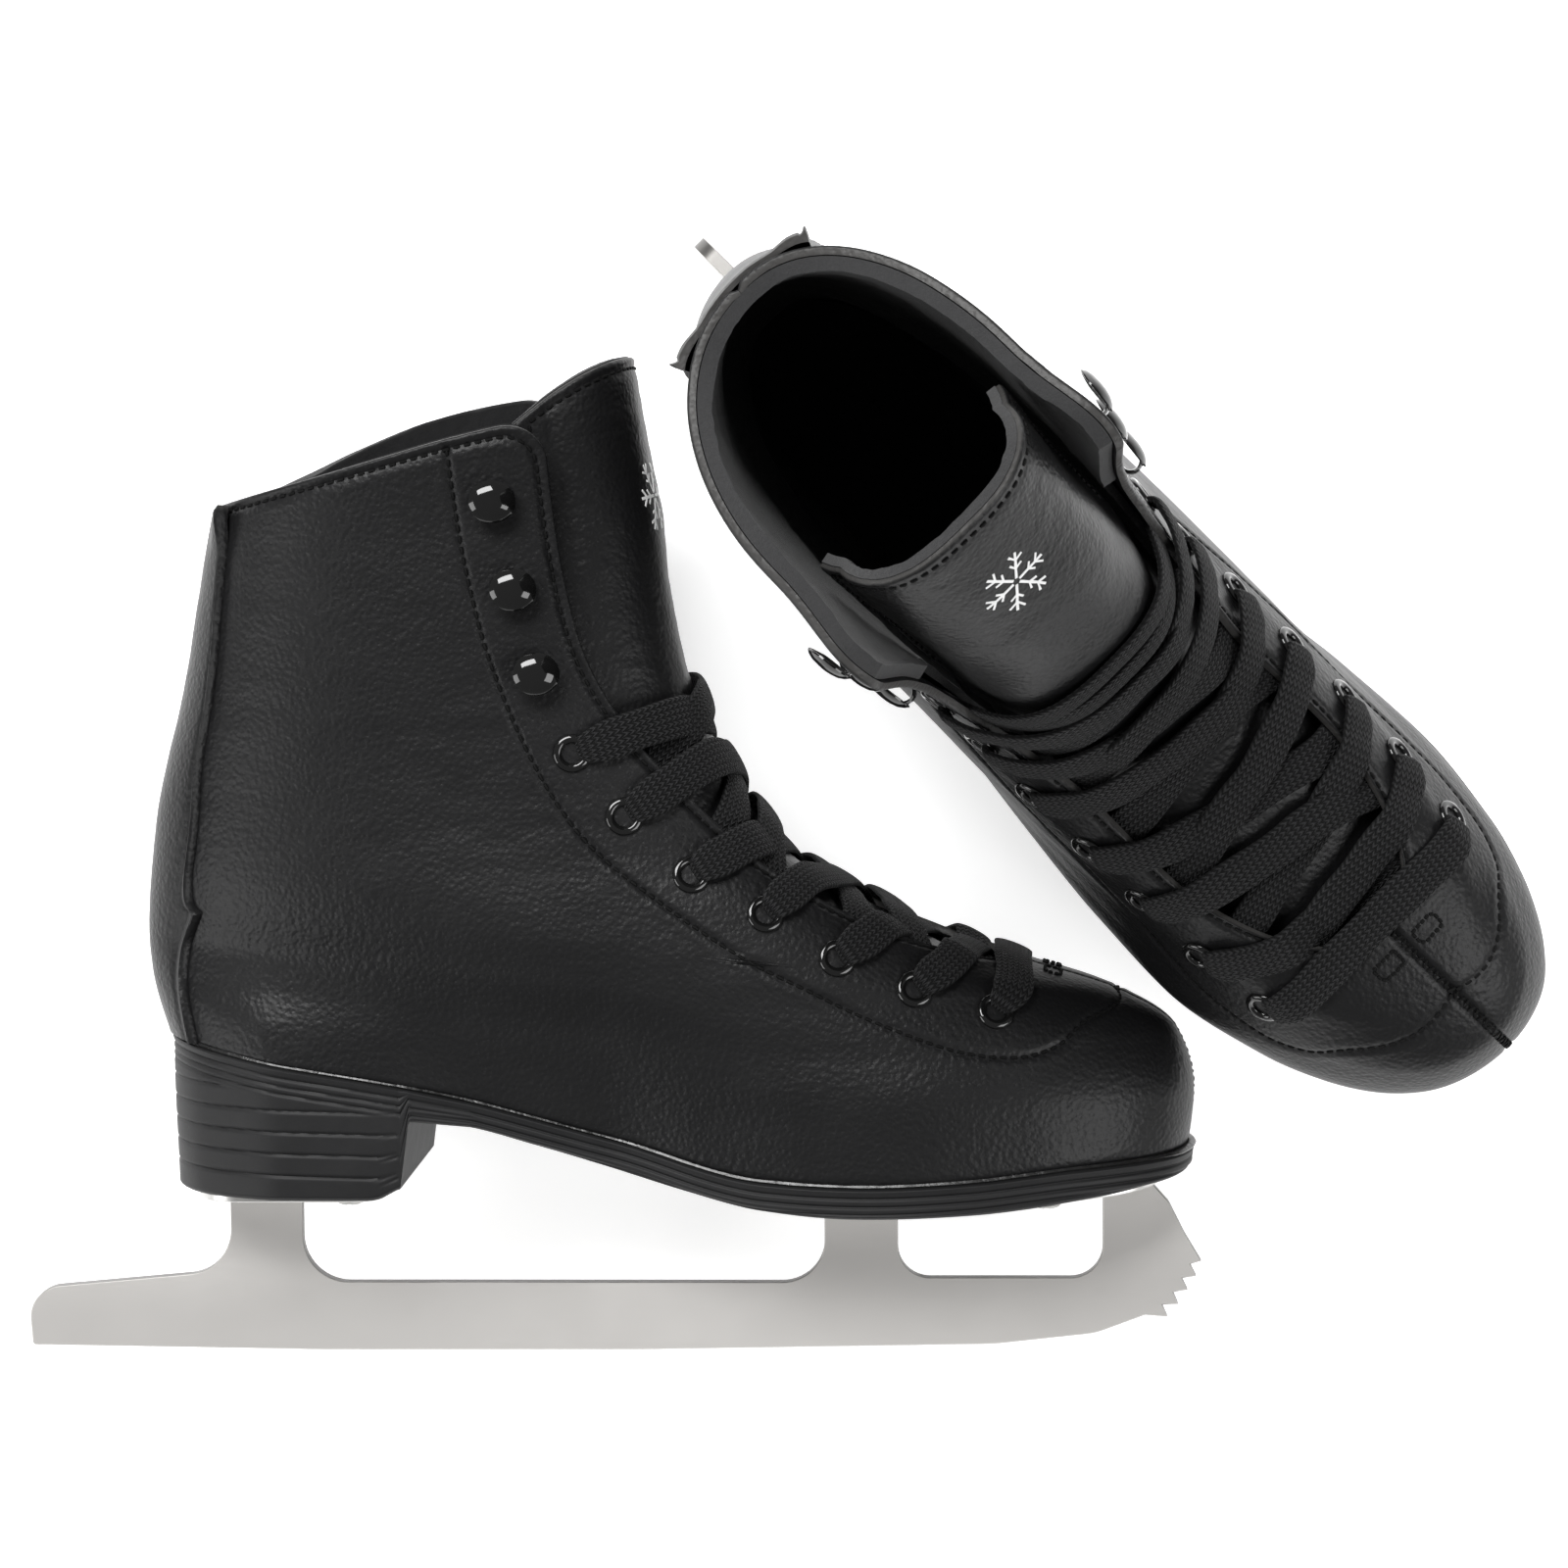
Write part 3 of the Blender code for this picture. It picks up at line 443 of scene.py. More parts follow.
def edge_stitch_line(side):
    """Levels and turns of the seam that runs along the collar, round the corner and down the facing."""
    # Pairs a, b: a from the facing's edge and b down from the collar, in mm.
    path = [(a, STITCH_INSET) for a in np.linspace(100.0, CORNER_RADIUS + 1, 40)]
    reach = CORNER_RADIUS - STITCH_INSET
    for angle in np.linspace(math.pi / 2, 0, 9):
        path.append((CORNER_RADIUS - reach * math.cos(angle), CORNER_RADIUS - reach * math.sin(angle)))
    bottom = (COLLAR - THROAT_END - 0.12) * MM_PER_LEVEL
    path += [(STITCH_INSET, b) for b in np.linspace(CORNER_RADIUS + 1, bottom, 80)]
    a, b = np.array(path).T
    v = COLLAR - b / MM_PER_LEVEL
    edge = facing_turn(v)
    t = edge - a / turn_length(side, np.minimum(edge, 0.97), v)
    return v + collar_rise(side, t / edge, v), t


def stay_stitch_line():
    """Levels and turns of the seam round the facing's strip and the toe."""
    v, t = level_and_turn(*np.array(STAY_LINE).T)
    v[-1], t[-1] = STAY_LINE_FRONT
    return curve_through(np.stack((v, t), 1), 240).T


def collar_rise(side, share, v):
    """How many levels the outer side's collar rises above the inner one's."""
    rise = smooth(COLLAR_RISE, share) * np.clip((v - 8.5) / 1.5, 0.0, 1.0)
    return np.where(np.asarray(side) > 0, rise, 0.0)


def corner_drop(side, share, v):
    """How many levels the collar's edge lies lower near the facing, in a round corner."""
    length = facing_turn(v) * turn_length(side, 0.6, v)
    a = np.clip(CORNER_RADIUS - (1 - share) * length * 0.85, 0.0, CORNER_RADIUS)
    drop = CORNER_RADIUS - np.sqrt(CORNER_RADIUS**2 - a**2)
    return drop / MM_PER_LEVEL * ease(v, 8.6, COLLAR) - collar_rise(side, share, v)


def nearest(points, line):
    """Distance from each point to a dense line of points."""
    flat = points.reshape(-1, 3)
    best = np.full(len(flat), 1e9)
    for start in range(0, len(line), 60):
        part = line[start : start + 60]
        best = np.minimum(best, ((flat[:, None, :] - part[None]) ** 2).sum(-1).min(1))
    return np.sqrt(best).reshape(points.shape[:-1])


def edge_marks(count, edge_steps, length):
    """Marks from 0 to 1, with extra ones close to 1."""
    marks = np.linspace(0, 1, count)
    close = 1 - np.array(edge_steps) / length
    return np.unique(np.concatenate((marks[marks < close.min()], close, [1.0])))


def creases(points, v, place):
    """Soft undulation of the leather, deeper where the ankle bends."""
    ankle = bell(v - 6.6, 1.5) * bell(place - 0.62, 0.3)
    stretched = points * (1.0, 1.0, 2.6)
    fine = noise(stretched, 16.0, 3) * 0.09 + noise(points, 45.0, 5) * 0.3
    return fine + ankle * noise(stretched, 11.0, 9) * 0.16


def flare(hand, share, v):
    """The facing's upper corner curls outwards."""
    return FLARE[hand] * ease(v, 7.8, COLLAR) ** 1.5 * ease(share, 0.72, 1.0) ** 1.3


def quarter(skate, side):
    """One side of the upper, from the back seam to the toe seam and the facing's cut edge."""
    levels = edge_marks(190, EDGE_STEPS, COLLAR * MM_PER_LEVEL) * COLLAR
    level, share = np.meshgrid(levels, edge_marks(200, EDGE_STEPS, QUARTER_LENGTH), indexing="ij")
    v = level - corner_drop(side, share, level)
    turn = share * facing_turn(v)
    base, normal = upper(side, turn, v), upper_normal(side, turn, v)

    out = creases(base, v, place_of(turn)) + flare(skate.hand, share, v)
    for seam_v, seam_t in (edge_stitch_line(side), stay_stitch_line()):
        away = nearest(base, resampled(upper(side, seam_t, seam_v), 0.8))
        out += -0.62 * bell(away, 0.85) + 0.12 * bell(away - 2.2, 1.2)
    at_seam = ((v <= THROAT_END) & (turn > 0.5)) | (turn < 0.02)
    out -= np.where(at_seam, SEAM_DEPTH * bell(np.abs(base[..., 1]), SEAM_WIDTH), 0.0)
    to_facing = np.where(v > THROAT_END - 0.05, (1 - share) * QUARTER_LENGTH, 9.0)
    cut = np.minimum(to_facing, (levels[-1] - level) * MM_PER_LEVEL)
    rounding = 0.8 * round_over(cut, 0.9)
    tuck = 1.8 * round_over(v * 12.0, 2.2)
    outer = base + (out - rounding - tuck)[..., None] * normal
    inner = base + (out - LEATHER)[..., None] * normal
    seam_side = np.maximum(np.abs(outer[..., 1]), 0.06) * side
    outer[..., 1] = np.where(at_seam, seam_side, outer[..., 1])
    label = SIDES[side]
    rim = np.where(cut < 0.1, 1.0, 0.0)
    skate.add_shell(
        f"upper_{label}", outer, inner, "leather", "leather_black", rim, share, replaces=[f"quarter_{label}"]
    )


def stitch(start, end, normal, radius=STITCH_RADIUS):
    """One stitch: a short round thread that rises from its two holes."""
    along = end - start
    across = np.cross(normal, along)
    across /= np.linalg.norm(across)
    ring = np.array([math.cos(a) * across + math.sin(a) * normal for a in round_angles(6)])
    rings = []
    for share, lift, thick in STITCH_SHAPE:
        rings.append(start + along * share + normal * lift + radius * thick * ring)
    return tube(np.array(rings))


def stitches_along(points, normals, pitch=STITCH_PITCH, length=STITCH_LENGTH):
    """Stitches at even steps on a line of surface points."""
    both = resampled(np.concatenate((points, normals), 1), pitch)
    made = []
    for a, b in zip(both, both[1:]):
        step = b[:3] - a[:3]
        normal = a[3:] / np.linalg.norm(a[3:])
        made.append(stitch(a[:3], a[:3] + step * length / pitch, normal))
    return made


def on_toe(side, spots):
    """Levels and turns of the toe's points over the given x, y of one side."""
    levels, turns = np.linspace(1.0, THROAT_END, 160), np.linspace(0.7, 1.0, 160)
    grid_v, grid_t = np.meshgrid(levels, turns, indexing="ij")
    flat = upper(side, grid_t, grid_v).reshape(-1, 3)
    found = [int(np.argmin(np.hypot(*(flat[:, :2] - spot).T))) for spot in spots * (1, side)]
    return grid_v.ravel()[found], grid_t.ravel()[found]


def upper_stitches(skate, side):
    """The two seams of one side, and the small locked rectangle beside the toe seam."""
    made = []
    for v, t in (edge_stitch_line(side), stay_stitch_line()):
        surface, normal = upper(side, t, v), upper_normal(side, t, v)
        out = creases(surface, v, place_of(t)) + flare(skate.hand, t / facing_turn(v), v) - STITCH_SINK
        made += stitches_along(surface + out[:, None] * normal, normal)
    v, t = on_toe(side, resampled(TACK_CORNERS, 1.0))
    surface, normal = upper(side, t, v), upper_normal(side, t, v)
    lifted = surface + (creases(surface, v, place_of(t)) + 0.1)[:, None] * normal
    made += stitches_along(lifted, normal, 1.7, 1.5)
    skate.add(f"stitches_{SIDES[side]}", *merge(made), "thread", "lace_braid")


def toe_seam_stitches(skate):
    """Zigzag thread over the seam from the throat's end down the toe."""
    levels = np.linspace(THROAT_END - 0.1, 0.7, 90)
    line = resampled(np.concatenate((upper(1, 1.0, levels), upper_normal(1, 0.985, levels)), 1), 2.1)
    made = []
    for k, row in enumerate(line):
        normal = row[3:] * (1, 0, 1)
        normal /= np.linalg.norm(normal)
        slant = np.cross(normal, (0.0, 1.0, 0.0)) * (0.55 if k % 2 else -0.55)
        half = slant + (0, 1.35, 0)
        middle = row[:3] - normal * 0.35
        made.append(stitch(middle + half, middle - half, normal, 0.3))
    skate.add("stitches_toe_seam", *merge(made), "thread", "lace_braid")


# ---------------------------------------------------------------- backstay, lining, tongue

BACKSTAY_TOP = 9.93
# About how many millimetres one whole share of the way round measures at the back.
BACKSTAY_SCALE = 190.0
# Half width of the backstay as a share of the way to the facing, by level.
BACKSTAY_SHARES = ((0, 0.12), (2, 0.13), (4, 0.17), (6, 0.22), (8, 0.25), (10, 0.22))
# Depths of the lining's outer face above and below the counter, and of its inner face.
LINING_DEPTHS = (2.4, 3.9, 6.0)
# Depth of the tongue's face under the upper's surface along its middle line, by level.
TONGUE_RIDGE = ((3, 8.0), (4, 6.0), (5.5, 5.4), (7, 5.2), (8.2, 3.6), (9, 1.0), (11, 0.4))
TONGUE_SIDE_DEPTH = 7.4
TONGUE_START = 3.15
TONGUE_TOP = {"left": 10.4, "right": 10.67}
TONGUE_TOP_DROP = 0.42
TONGUE_LEATHER = 1.5
TONGUE_THICK = 4.1
TONGUE_UNDERLAP = 0.06
TONGUE_HINGE = (140.0, 0.0, 200.0)
# Offsets from the hinge between which the tongue bends.
TONGUE_BEND = ((3.0, 0, -12.0), (-1.0, 0, 9.0))
# About how long the tongue is, and half its width.
TONGUE_LENGTH = 190.0
TONGUE_HALF = 38.0
EDGE_STEPS_TONGUE = (0.4, 0.9, 1.6)
# The emblem's place on each tongue: share of its length, and millimetres towards the outer side.
EMBLEM_MARK = {"left": 0.815, "right": 0.86}
EMBLEM_SHIFT = {"left": -9.0, "right": 2.5}
EMBLEM_ARM = 9.5
# Millimetres of the tongue's length to one whole mark, at the emblem.
EMBLEM_SCALE = 205.0
# Distance from the middle and length of the small branches on each arm of the snowflake.
EMBLEM_BRANCHES = ((4.2, 2.2), (6.8, 2.6))


def backstay(skate):
    """The strip over the back seam, with a folded ridge down each edge and small wings at its top."""
    across = np.sin(np.linspace(-1, 1, 61) * math.pi / 2)
    v, c = np.meshgrid(np.linspace(0.05, BACKSTAY_TOP, 150), across, indexing="ij")
    from_middle, width = np.abs(c), smooth(BACKSTAY_SHARES, v)
    share = from_middle * width
    side = np.where(c >= 0, 1, -1)
    turn = share * facing_turn(v)
    base, normal = upper(side, turn, v), upper_normal(side, turn, v)
    crease = creases(base, v, place_of(turn))
    to_edge = (1 - from_middle) * width * BACKSTAY_SCALE
    lift = 1.5 * (1 - round_over(to_edge, 1.2))
    lift += 0.9 * bell(to_edge - 1.3, 0.9) - 0.35 * bell(to_edge - 3.4, 0.7)
    to_top = (COLLAR - 0.05 - v) * MM_PER_LEVEL
    lift *= 1.0 + 0.5 * ease(v, 9.2, 9.8) * ease(from_middle, 0.5, 0.8)
    lift *= 0.6 + 0.4 * ease(to_top, 0.0, 1.5)
    wing = 1.7 * ease(v, 9.3, BACKSTAY_TOP) * ease(from_middle, 0.45, 0.95)
    outer = base + (crease + lift + wing)[..., None] * normal
    inner = base + (wing * 0.9 + crease - 0.25)[..., None] * normal
    rim = np.where(to_top < 1.3, 1.0, 0.0)
    skate.add_shell(
        "backstay_strip", outer, inner, "leather", "leather_black", rim, share, replaces=["backstay"]
    )


def lining(skate):
    """The felt inside the boot: it fills the leather's whole rim at the collar."""
    levels = edge_marks(100, (0.3, 0.8, 1.5, 2.4), COLLAR * MM_PER_LEVEL) * (COLLAR - 0.15) + 0.15
    v, c = np.meshgrid(levels, np.sin(np.linspace(-1, 1, 181) * math.pi / 2), indexing="ij")
    share = np.abs(c) * (0.9 + 0.088 * ease(v, 7.6, 8.6))
    side = np.where(c >= 0, 1, -1)
    v = v - corner_drop(side, share, v)
    turn = share * facing_turn(v)
    base, normal = upper(side, turn, v), upper_normal(side, turn, v)
    out = creases(base, v, place_of(turn)) + flare(skate.hand, share, v)
    fuzz = noise(base, 2.2, 21) * 0.25 + noise(base, 9.0, 22) * 0.35
    high, low, inside = LINING_DEPTHS
    outer = base + (out - high - (low - high) * (1 - ease(v, 7.5, 8.5)))[..., None] * normal
    inner = base + (out - inside + fuzz)[..., None] * normal
    top = ease(v, 9.9, COLLAR)
    outer[..., 2] += 0.4 * top
    inner[..., 2] += (0.2 + 0.35 * noise(base, 4.0, 23)) * top
    rim = np.zeros(v.shape)
    rim[-2:, :] = 1.0
    rim[:, :1] = rim[:, -1:] = 1.0
    skate.add_shell("lining_felt", outer, inner, "felt", "felt_lining", rim, share, replaces=["lining"])


def lean(skate, points, level):
    """The tongue's upper part turned back about its hinge line, easing in along it."""
    angle = math.radians(TONGUE_LEAN[skate.hand]) * ease(level, 7.2, 8.4)
    x, z = points[..., 0] - TONGUE_HINGE[0], points[..., 2] - TONGUE_HINGE[2]
    moved = points.copy()
    moved[..., 0] = TONGUE_HINGE[0] + x * np.cos(angle) + z * np.sin(angle)
    moved[..., 2] = TONGUE_HINGE[2] - x * np.sin(angle) + z * np.cos(angle)
    return moved


def tongue_level(skate, across, mark):
    """The level at a share of the tongue's length; its top drops towards the sides."""
    top = TONGUE_TOP[skate.hand] - TONGUE_TOP_DROP * np.abs(across) ** 2.6
    return TONGUE_START + mark * (top - TONGUE_START)


def tongue_point(skate, across, level, thick):
    """A point of the tongue: across is -1 to 1 from its inner to its outer edge."""
    edge = turn_of(smooth(FACING, np.maximum(level, THROAT_END)) - TONGUE_UNDERLAP)
    turn = 1 - np.abs(across) * (1 - edge)
    ridge = smooth(TONGUE_RIDGE, level)
    depth = ridge + (TONGUE_SIDE_DEPTH - ridge) * np.minimum(1.0, np.abs(across) * 1.25) ** 2
    points = under(np.where(across >= 0, 1, -1), turn, level, depth + thick)
    return lean(skate, points, level)


def tongue_waves(surface):
    return noise(surface, 20.0, 31) * 0.5 + noise(surface * (1, 1, 3), 7.0, 32) * 0.12


def on_tongue(skate, across, mark, lift):
    """Points over the tongue's face, and the directions outwards from it."""
    level = tongue_level(skate, across, mark)
    depth = tongue_waves(tongue_point(skate, across, level, np.zeros(across.shape)))
    here = tongue_point(skate, across, level, depth - lift)
    return here, tongue_point(skate, across, level, depth - lift - 1.0) - here


def tongue(skate):
    """A leather face and a thicker felt back, cut to one rounded shape and sewn near the edge."""
    half = edge_marks(46, EDGE_STEPS_TONGUE, 60.0)
    across = np.concatenate((-half[:0:-1], half))
    mark, a = np.meshgrid(edge_marks(150, EDGE_STEPS_TONGUE, TONGUE_LENGTH), across, indexing="ij")
    level = tongue_level(skate, a, mark)
    surface = tongue_point(skate, a, level, np.zeros(level.shape))
    soft = tongue_waves(surface)
    to_side = np.where(level > 8.2, (1 - np.abs(a)) * TONGUE_HALF, 9.0)
    away = np.minimum((1 - mark) * TONGUE_LENGTH, to_side)
    seam = 0.4 * bell(away - STITCH_INSET, 0.8)
    rounding = 0.6 * (1 - np.clip(away / 0.8, 0, 1)) ** 2
    face = tongue_point(skate, a, level, rounding + seam + soft)
    back = tongue_point(skate, a, level, soft + TONGUE_LEATHER)
    blend = [tuple(skate.world([np.add(TONGUE_HINGE, step)])[0]) for step in TONGUE_BEND]
    rim = np.where(away < 0.1, 1.0, 0.0)
    looks = {"blend": blend, "replaces": ["tongue_base", "tongue_flap"]}
    skate.add_shell("tongue_leather", face, back, "leather", "leather_black", rim, level * 0.1, **looks)
    felt_face = tongue_point(skate, a * 1.004, level + 0.012, soft + TONGUE_LEATHER + 0.05)
    fuzz = noise(surface, 2.4, 33) * 0.3
    felt_back = tongue_point(skate, a * 1.004, level + 0.012, soft + TONGUE_THICK + fuzz)
    rim = np.where(away < 0.5, 1.0, 0.0)
    skate.add_shell("tongue_felt", felt_face, felt_back, "felt", "felt_lining", rim, level * 0.1, blend=blend)

    edge, top = 1 - STITCH_INSET / TONGUE_HALF, 1 - STITCH_INSET / TONGUE_LENGTH
    rise, level_run = np.linspace(0.7, top, 30), np.full(60, top)
    line_a = np.concatenate((np.full(30, -edge), np.linspace(-edge, edge, 60), np.full(30, edge)))
    points, normals = on_tongue(skate, line_a, np.concatenate((rise, level_run, rise[::-1])), -0.3)
    skate.add("stitches_tongue", *merge(stitches_along(points, normals)), "thread", "lace_braid", blend=blend)
    snowflake(skate, blend)


def snowflake(skate, blend):
    """The plain printed emblem: six arms with two pairs of branches each."""
    strokes = []
    for arm in range(6):
        angle = arm * math.tau / 6
        ahead = np.array((math.cos(angle), math.sin(angle)))
        aside = np.array((-ahead[1], ahead[0]))
        strokes.append((ahead * 1.0, ahead * EMBLEM_ARM, 0.75))
        for reach, size in EMBLEM_BRANCHES:
            for way in (-1, 1):
                tip = ahead * (reach + size * 0.7) + aside * size * way * 0.8
                strokes.append((ahead * reach, tip, 0.6))
    place = EMBLEM_MARK[skate.hand]
    samples = np.linspace(0, 1, 300)
    ridge_line, _ = on_tongue(skate, samples, np.full(300, place), 0.0)
    lengths = np.linalg.norm(np.diff(ridge_line, axis=0), axis=1)
    reach = np.concatenate(([0], np.cumsum(lengths)))
    steps = np.linspace(0, 1, 7)[:, None]
    flakes = []
    for start, end, width in strokes:
        line = start + (end - start) * steps
        across = np.array((start[1] - end[1], end[0] - start[0]))
        across = across / np.linalg.norm(across) * width / 2
        rows = np.stack([line - across, line + across], 1)
        aside = rows[..., 0] + EMBLEM_SHIFT[skate.hand]
        a = np.sign(aside) * np.interp(np.abs(aside), reach, samples)
        mark = place + rows[..., 1] / EMBLEM_SCALE
        flakes.append(shell(*[on_tongue(skate, a, mark, lift)[0] for lift in (0.16, -0.3)]))
    skate.add("tongue_snowflake", *merge(flakes), "print", "felt_lining", blend=blend)


# ---------------------------------------------------------------- eyelets, hooks, laces

EYELETS = (
    (229.0, 100.3), (207.1, 106.8), (186.1, 115.3), (166.7, 127.3), (146.7, 138.0), (128.7, 153.7),
    (114.8, 170.8),
)
EYELET_RING = 5.2
EYELET_HOLE = 2.7
# Radii and heights of the eyelet's rolled lip and barrel.
EYELET_PROFILE = (
    (EYELET_HOLE + 0.1, -3.0), (EYELET_HOLE, 0.2), (EYELET_HOLE + 0.25, 0.75), (EYELET_HOLE + 0.8, 1.15),
    (EYELET_RING - 1.2, 1.2), (EYELET_RING - 0.5, 1.0), (EYELET_RING - 0.08, 0.6), (EYELET_RING, 0.1),
    (EYELET_RING - 0.2, -0.3), (EYELET_HOLE + 0.7, -0.4), (EYELET_HOLE + 0.6, -3.0),
)
HOOKS = ((106.0, 192.4), (100.1, 215.0), (94.9, 238.7))
HOOK_FLANGE = ((0.0, -0.3), (4.4, -0.3), (4.7, 0.1), (4.5, 0.55), (3.6, 0.8), (0.0, 0.9))
HOOK_DOME = (
    (0.0, 5.7), (3.6, 5.5), (5.6, 4.9), (6.15, 4.9), (6.2, 5.3), (5.4, 6.1), (4.0, 6.9), (2.0, 7.4),
    (0.0, 7.5),
)
HOOK_NECK_HALF_WIDTH = 2.9
HOOK_NECK_HALF_THICK = 0.6
LACE_WIDTH = 11.0
LACE_THICK = 2.0
# The lace's width as it squeezes into an eyelet, as a share of its full width.
LACE_NARROW = 0.55
# How far each strand's middle lies in front of the straight line between its eyelets.
LACE_BOW = 2.5
# Depths of the lower and the upper strand's middle where two cross on the tongue.
CROSSING_DEPTHS = (4.0, 1.9)
# Levels where loose turns of lace lie round the tongue, and their width.
LOOSE_TURNS = {"left": (), "right": (7.5, 7.85)}
LOOSE_WIDTH = 8.5


def eyelet():
    """A pressed ring with a rolled lip and a barrel through the leather."""
    radius, height = np.array(EYELET_PROFILE).T
    rings = [np.stack((radius * math.cos(a), radius * math.sin(a), height), 1) for a in round_angles(40)]
    return tube(np.array(rings), closed=True)


def hook():
    """A pressed lacing hook: a flange on the leather, a neck in front, and a domed plate over the mouth."""
    dome, dome_faces = turned(HOOK_DOME, 40)
    dome = dome * (1.0, 0.93, 1.0) - (0.6, 0.0, 0.0)
    dome[:, 2] += np.clip(-dome[:, 0] - 3.0, 0, 9) * 0.16
    path = []
    for angle in np.linspace(-1.75, 1.75, 15):
        x = 2.2 + 2.7 * math.cos(angle) if abs(angle) < 1.5 else 1.4
        path.append((x, 0.0, 3.1 + 2.75 * math.sin(angle)))
    ahead = np.gradient(np.array(path), axis=0)
    ahead /= np.linalg.norm(ahead, axis=1)[:, None]
    rings = []
    for point, out in zip(np.array(path), np.cross((0.0, 1.0, 0.0), ahead)):
        across = np.array((0.0, HOOK_NECK_HALF_WIDTH, 0.0))
        thick = HOOK_NECK_HALF_THICK * out
        rings.append([point + across * math.cos(a) + thick * math.sin(a) for a in round_angles(12)])
    return [turned(HOOK_FLANGE, 32), (dome, dome_faces), tube(np.array(rings))]


def eyelets_and_hooks(skate, side):
    label = SIDES[side]

    def seated(parts, x, z):
        v, t = level_and_turn(x, z)
        point, normal, ahead = seat_at(side, t, v)
        out = creases(point, v, place_of(t)) + flare(skate.hand, t / facing_turn(v), v)
        return [placed(part, point + normal * out, normal, ahead) for part in parts]

    rings = [seated([eyelet()], *spot)[0] for spot in EYELETS]
    skate.add(f"eyelets_{label}", *merge(rings), "enamel", "black_enamel", replaces=[f"eyelet_stay_{label}"])
    for number, spot in enumerate(HOOKS, 1):
        name = f"hook_{label}_{number}"
        solid = merge(seated(hook(), *spot))
        skate.add(f"{name}_pressed", *solid, "enamel", "black_enamel", replaces=[name])


def strand(path, normals, width=LACE_WIDTH, start_narrow=1.0, end_narrow=1.0):
    """A flat braid along a path: a rounded ribbon with its length and width kept for the braid's pattern."""
    rows = resampled(np.concatenate((path, normals), 1), 0.9)
    path, normals = rows[:, :3], rows[:, 3:]
    along = np.gradient(path, axis=0)
    along /= np.linalg.norm(along, axis=1)[:, None]
    across = np.cross(normals, along)
    across /= np.linalg.norm(across, axis=1)[:, None]
    normals = np.cross(along, across)
    angles = round_angles(28)
    wide = np.sign(np.cos(angles)) * np.abs(np.cos(angles)) ** 0.8
    high = np.sign(np.sin(angles)) * np.abs(np.sin(angles)) ** 0.62
    share = np.linspace(0, 1, len(path))
    taper = 1 - (1 - start_narrow) * (1 - ease(share, 0.0, 0.14)) - (1 - end_narrow) * ease(share, 0.86, 1.0)
    half = width / 2 * taper * (1 + 0.03 * np.sin(share * 23.0))
    thickness = LACE_THICK / 2 * (1 + 0.45 * (1 - taper))
    cup = 0.35 * np.sin(share * math.pi)
    sideways = (half[:, None] * wide)[..., None] * across[:, None]
    upwards = (thickness[:, None] * high - cup[:, None] * wide**2)[..., None] * normals[:, None]
    length = np.concatenate(([0], np.cumsum(np.linalg.norm(np.diff(path, axis=0), axis=1))))
    uvs = np.stack(np.broadcast_arrays(length[:, None] * 0.01, (wide * 0.5 + 0.5)[None]), -1).reshape(-1, 2)
    return *tube(path[:, None] + sideways + upwards), uvs


def lace_path(side, near, far, over):
    """A straight pull from one eyelet over the facing's edge and the tongue, then under the other facing."""
    v, t = level_and_turn(*np.array(EYELETS).T)
    u = np.linspace(-1.0, 1.0 if near == far else 0.93, 130)
    crossing = CROSSING_DEPTHS[over]
    row = np.subtract(EYELETS[max(near, 1)], EYELETS[max(near, 1) - 1])
    row /= np.linalg.norm(row)
    target = np.add(EYELETS[near], EYELETS[far]) @ row / 2 - LACE_BOW
    levels = np.linspace(3.5, 8.0, 200)
    ridge = under(1, 1.0, levels, np.full(200, crossing))[:, (0, 2)] @ row
    middle = float(np.interp(target, ridge, levels)) + (0.06 if over else -0.06)
    level = middle * (1 - u**2) + (v[near] + v[far]) / 2 * u**2 + (v[far] - v[near]) / 2 * u
    seat_t = t[near] + (t[far] - t[near]) * (u + 1) / 2
    turn = 1 - np.abs(u) * (1 - seat_t)
    edge = np.abs(1 - facing_turn(np.maximum(level, THROAT_END + 0.02))) / (1 - seat_t)
    edge = np.clip(edge, 0.05, 0.95)
    outside = -LACE_THICK / 2 - 0.35
    if near == far:
        depth = np.full(u.shape, outside)
        from_hole = np.abs(u)
    else:
        below = LEATHER + LACE_THICK / 2 + 0.4
        over_edge = crossing + (outside - crossing) * ease(-u, 0.12, np.minimum(edge + 0.06, 0.8))
        under_edge = crossing + (below - crossing) * ease(u, 0.1, np.maximum(edge - 0.12, 0.25))
        depth = np.where(u > 0, under_edge, over_edge)
        from_hole = -u
    into_hole = ease(from_hole, 0.93, 1.0)
    depth = depth - 0.9 * ease(from_hole, 0.68, 0.84) * (1 - into_hole) + 4.2 * into_hole
    hand_side = np.where(u < 0, side, -side)
    return under(hand_side, turn, level, depth), upper_normal(hand_side, turn, level)


def loose_turn(skate, middle):
    """A turn of lace round the tongue, high at the middle and down to the top eyelets."""
    u = np.linspace(-0.97, 0.97, 120)
    v, t = level_and_turn(*EYELETS[-1])
    level = middle + (v - middle) * np.abs(u) ** 2.2
    turn = 1 - np.abs(u) * (1 - t)
    hand_side = np.where(u < 0, 1, -1)
    ridge = smooth(TONGUE_RIDGE, level)
    side_depth = ridge + (TONGUE_SIDE_DEPTH - 3.6 - ridge) * ease(np.abs(u), 0.0, 0.75)
    top = under(hand_side, turn, level, side_depth - LACE_THICK / 2 - 0.25)
    return strand(lean(skate, top, level), upper_normal(hand_side, turn, level), width=LOOSE_WIDTH)


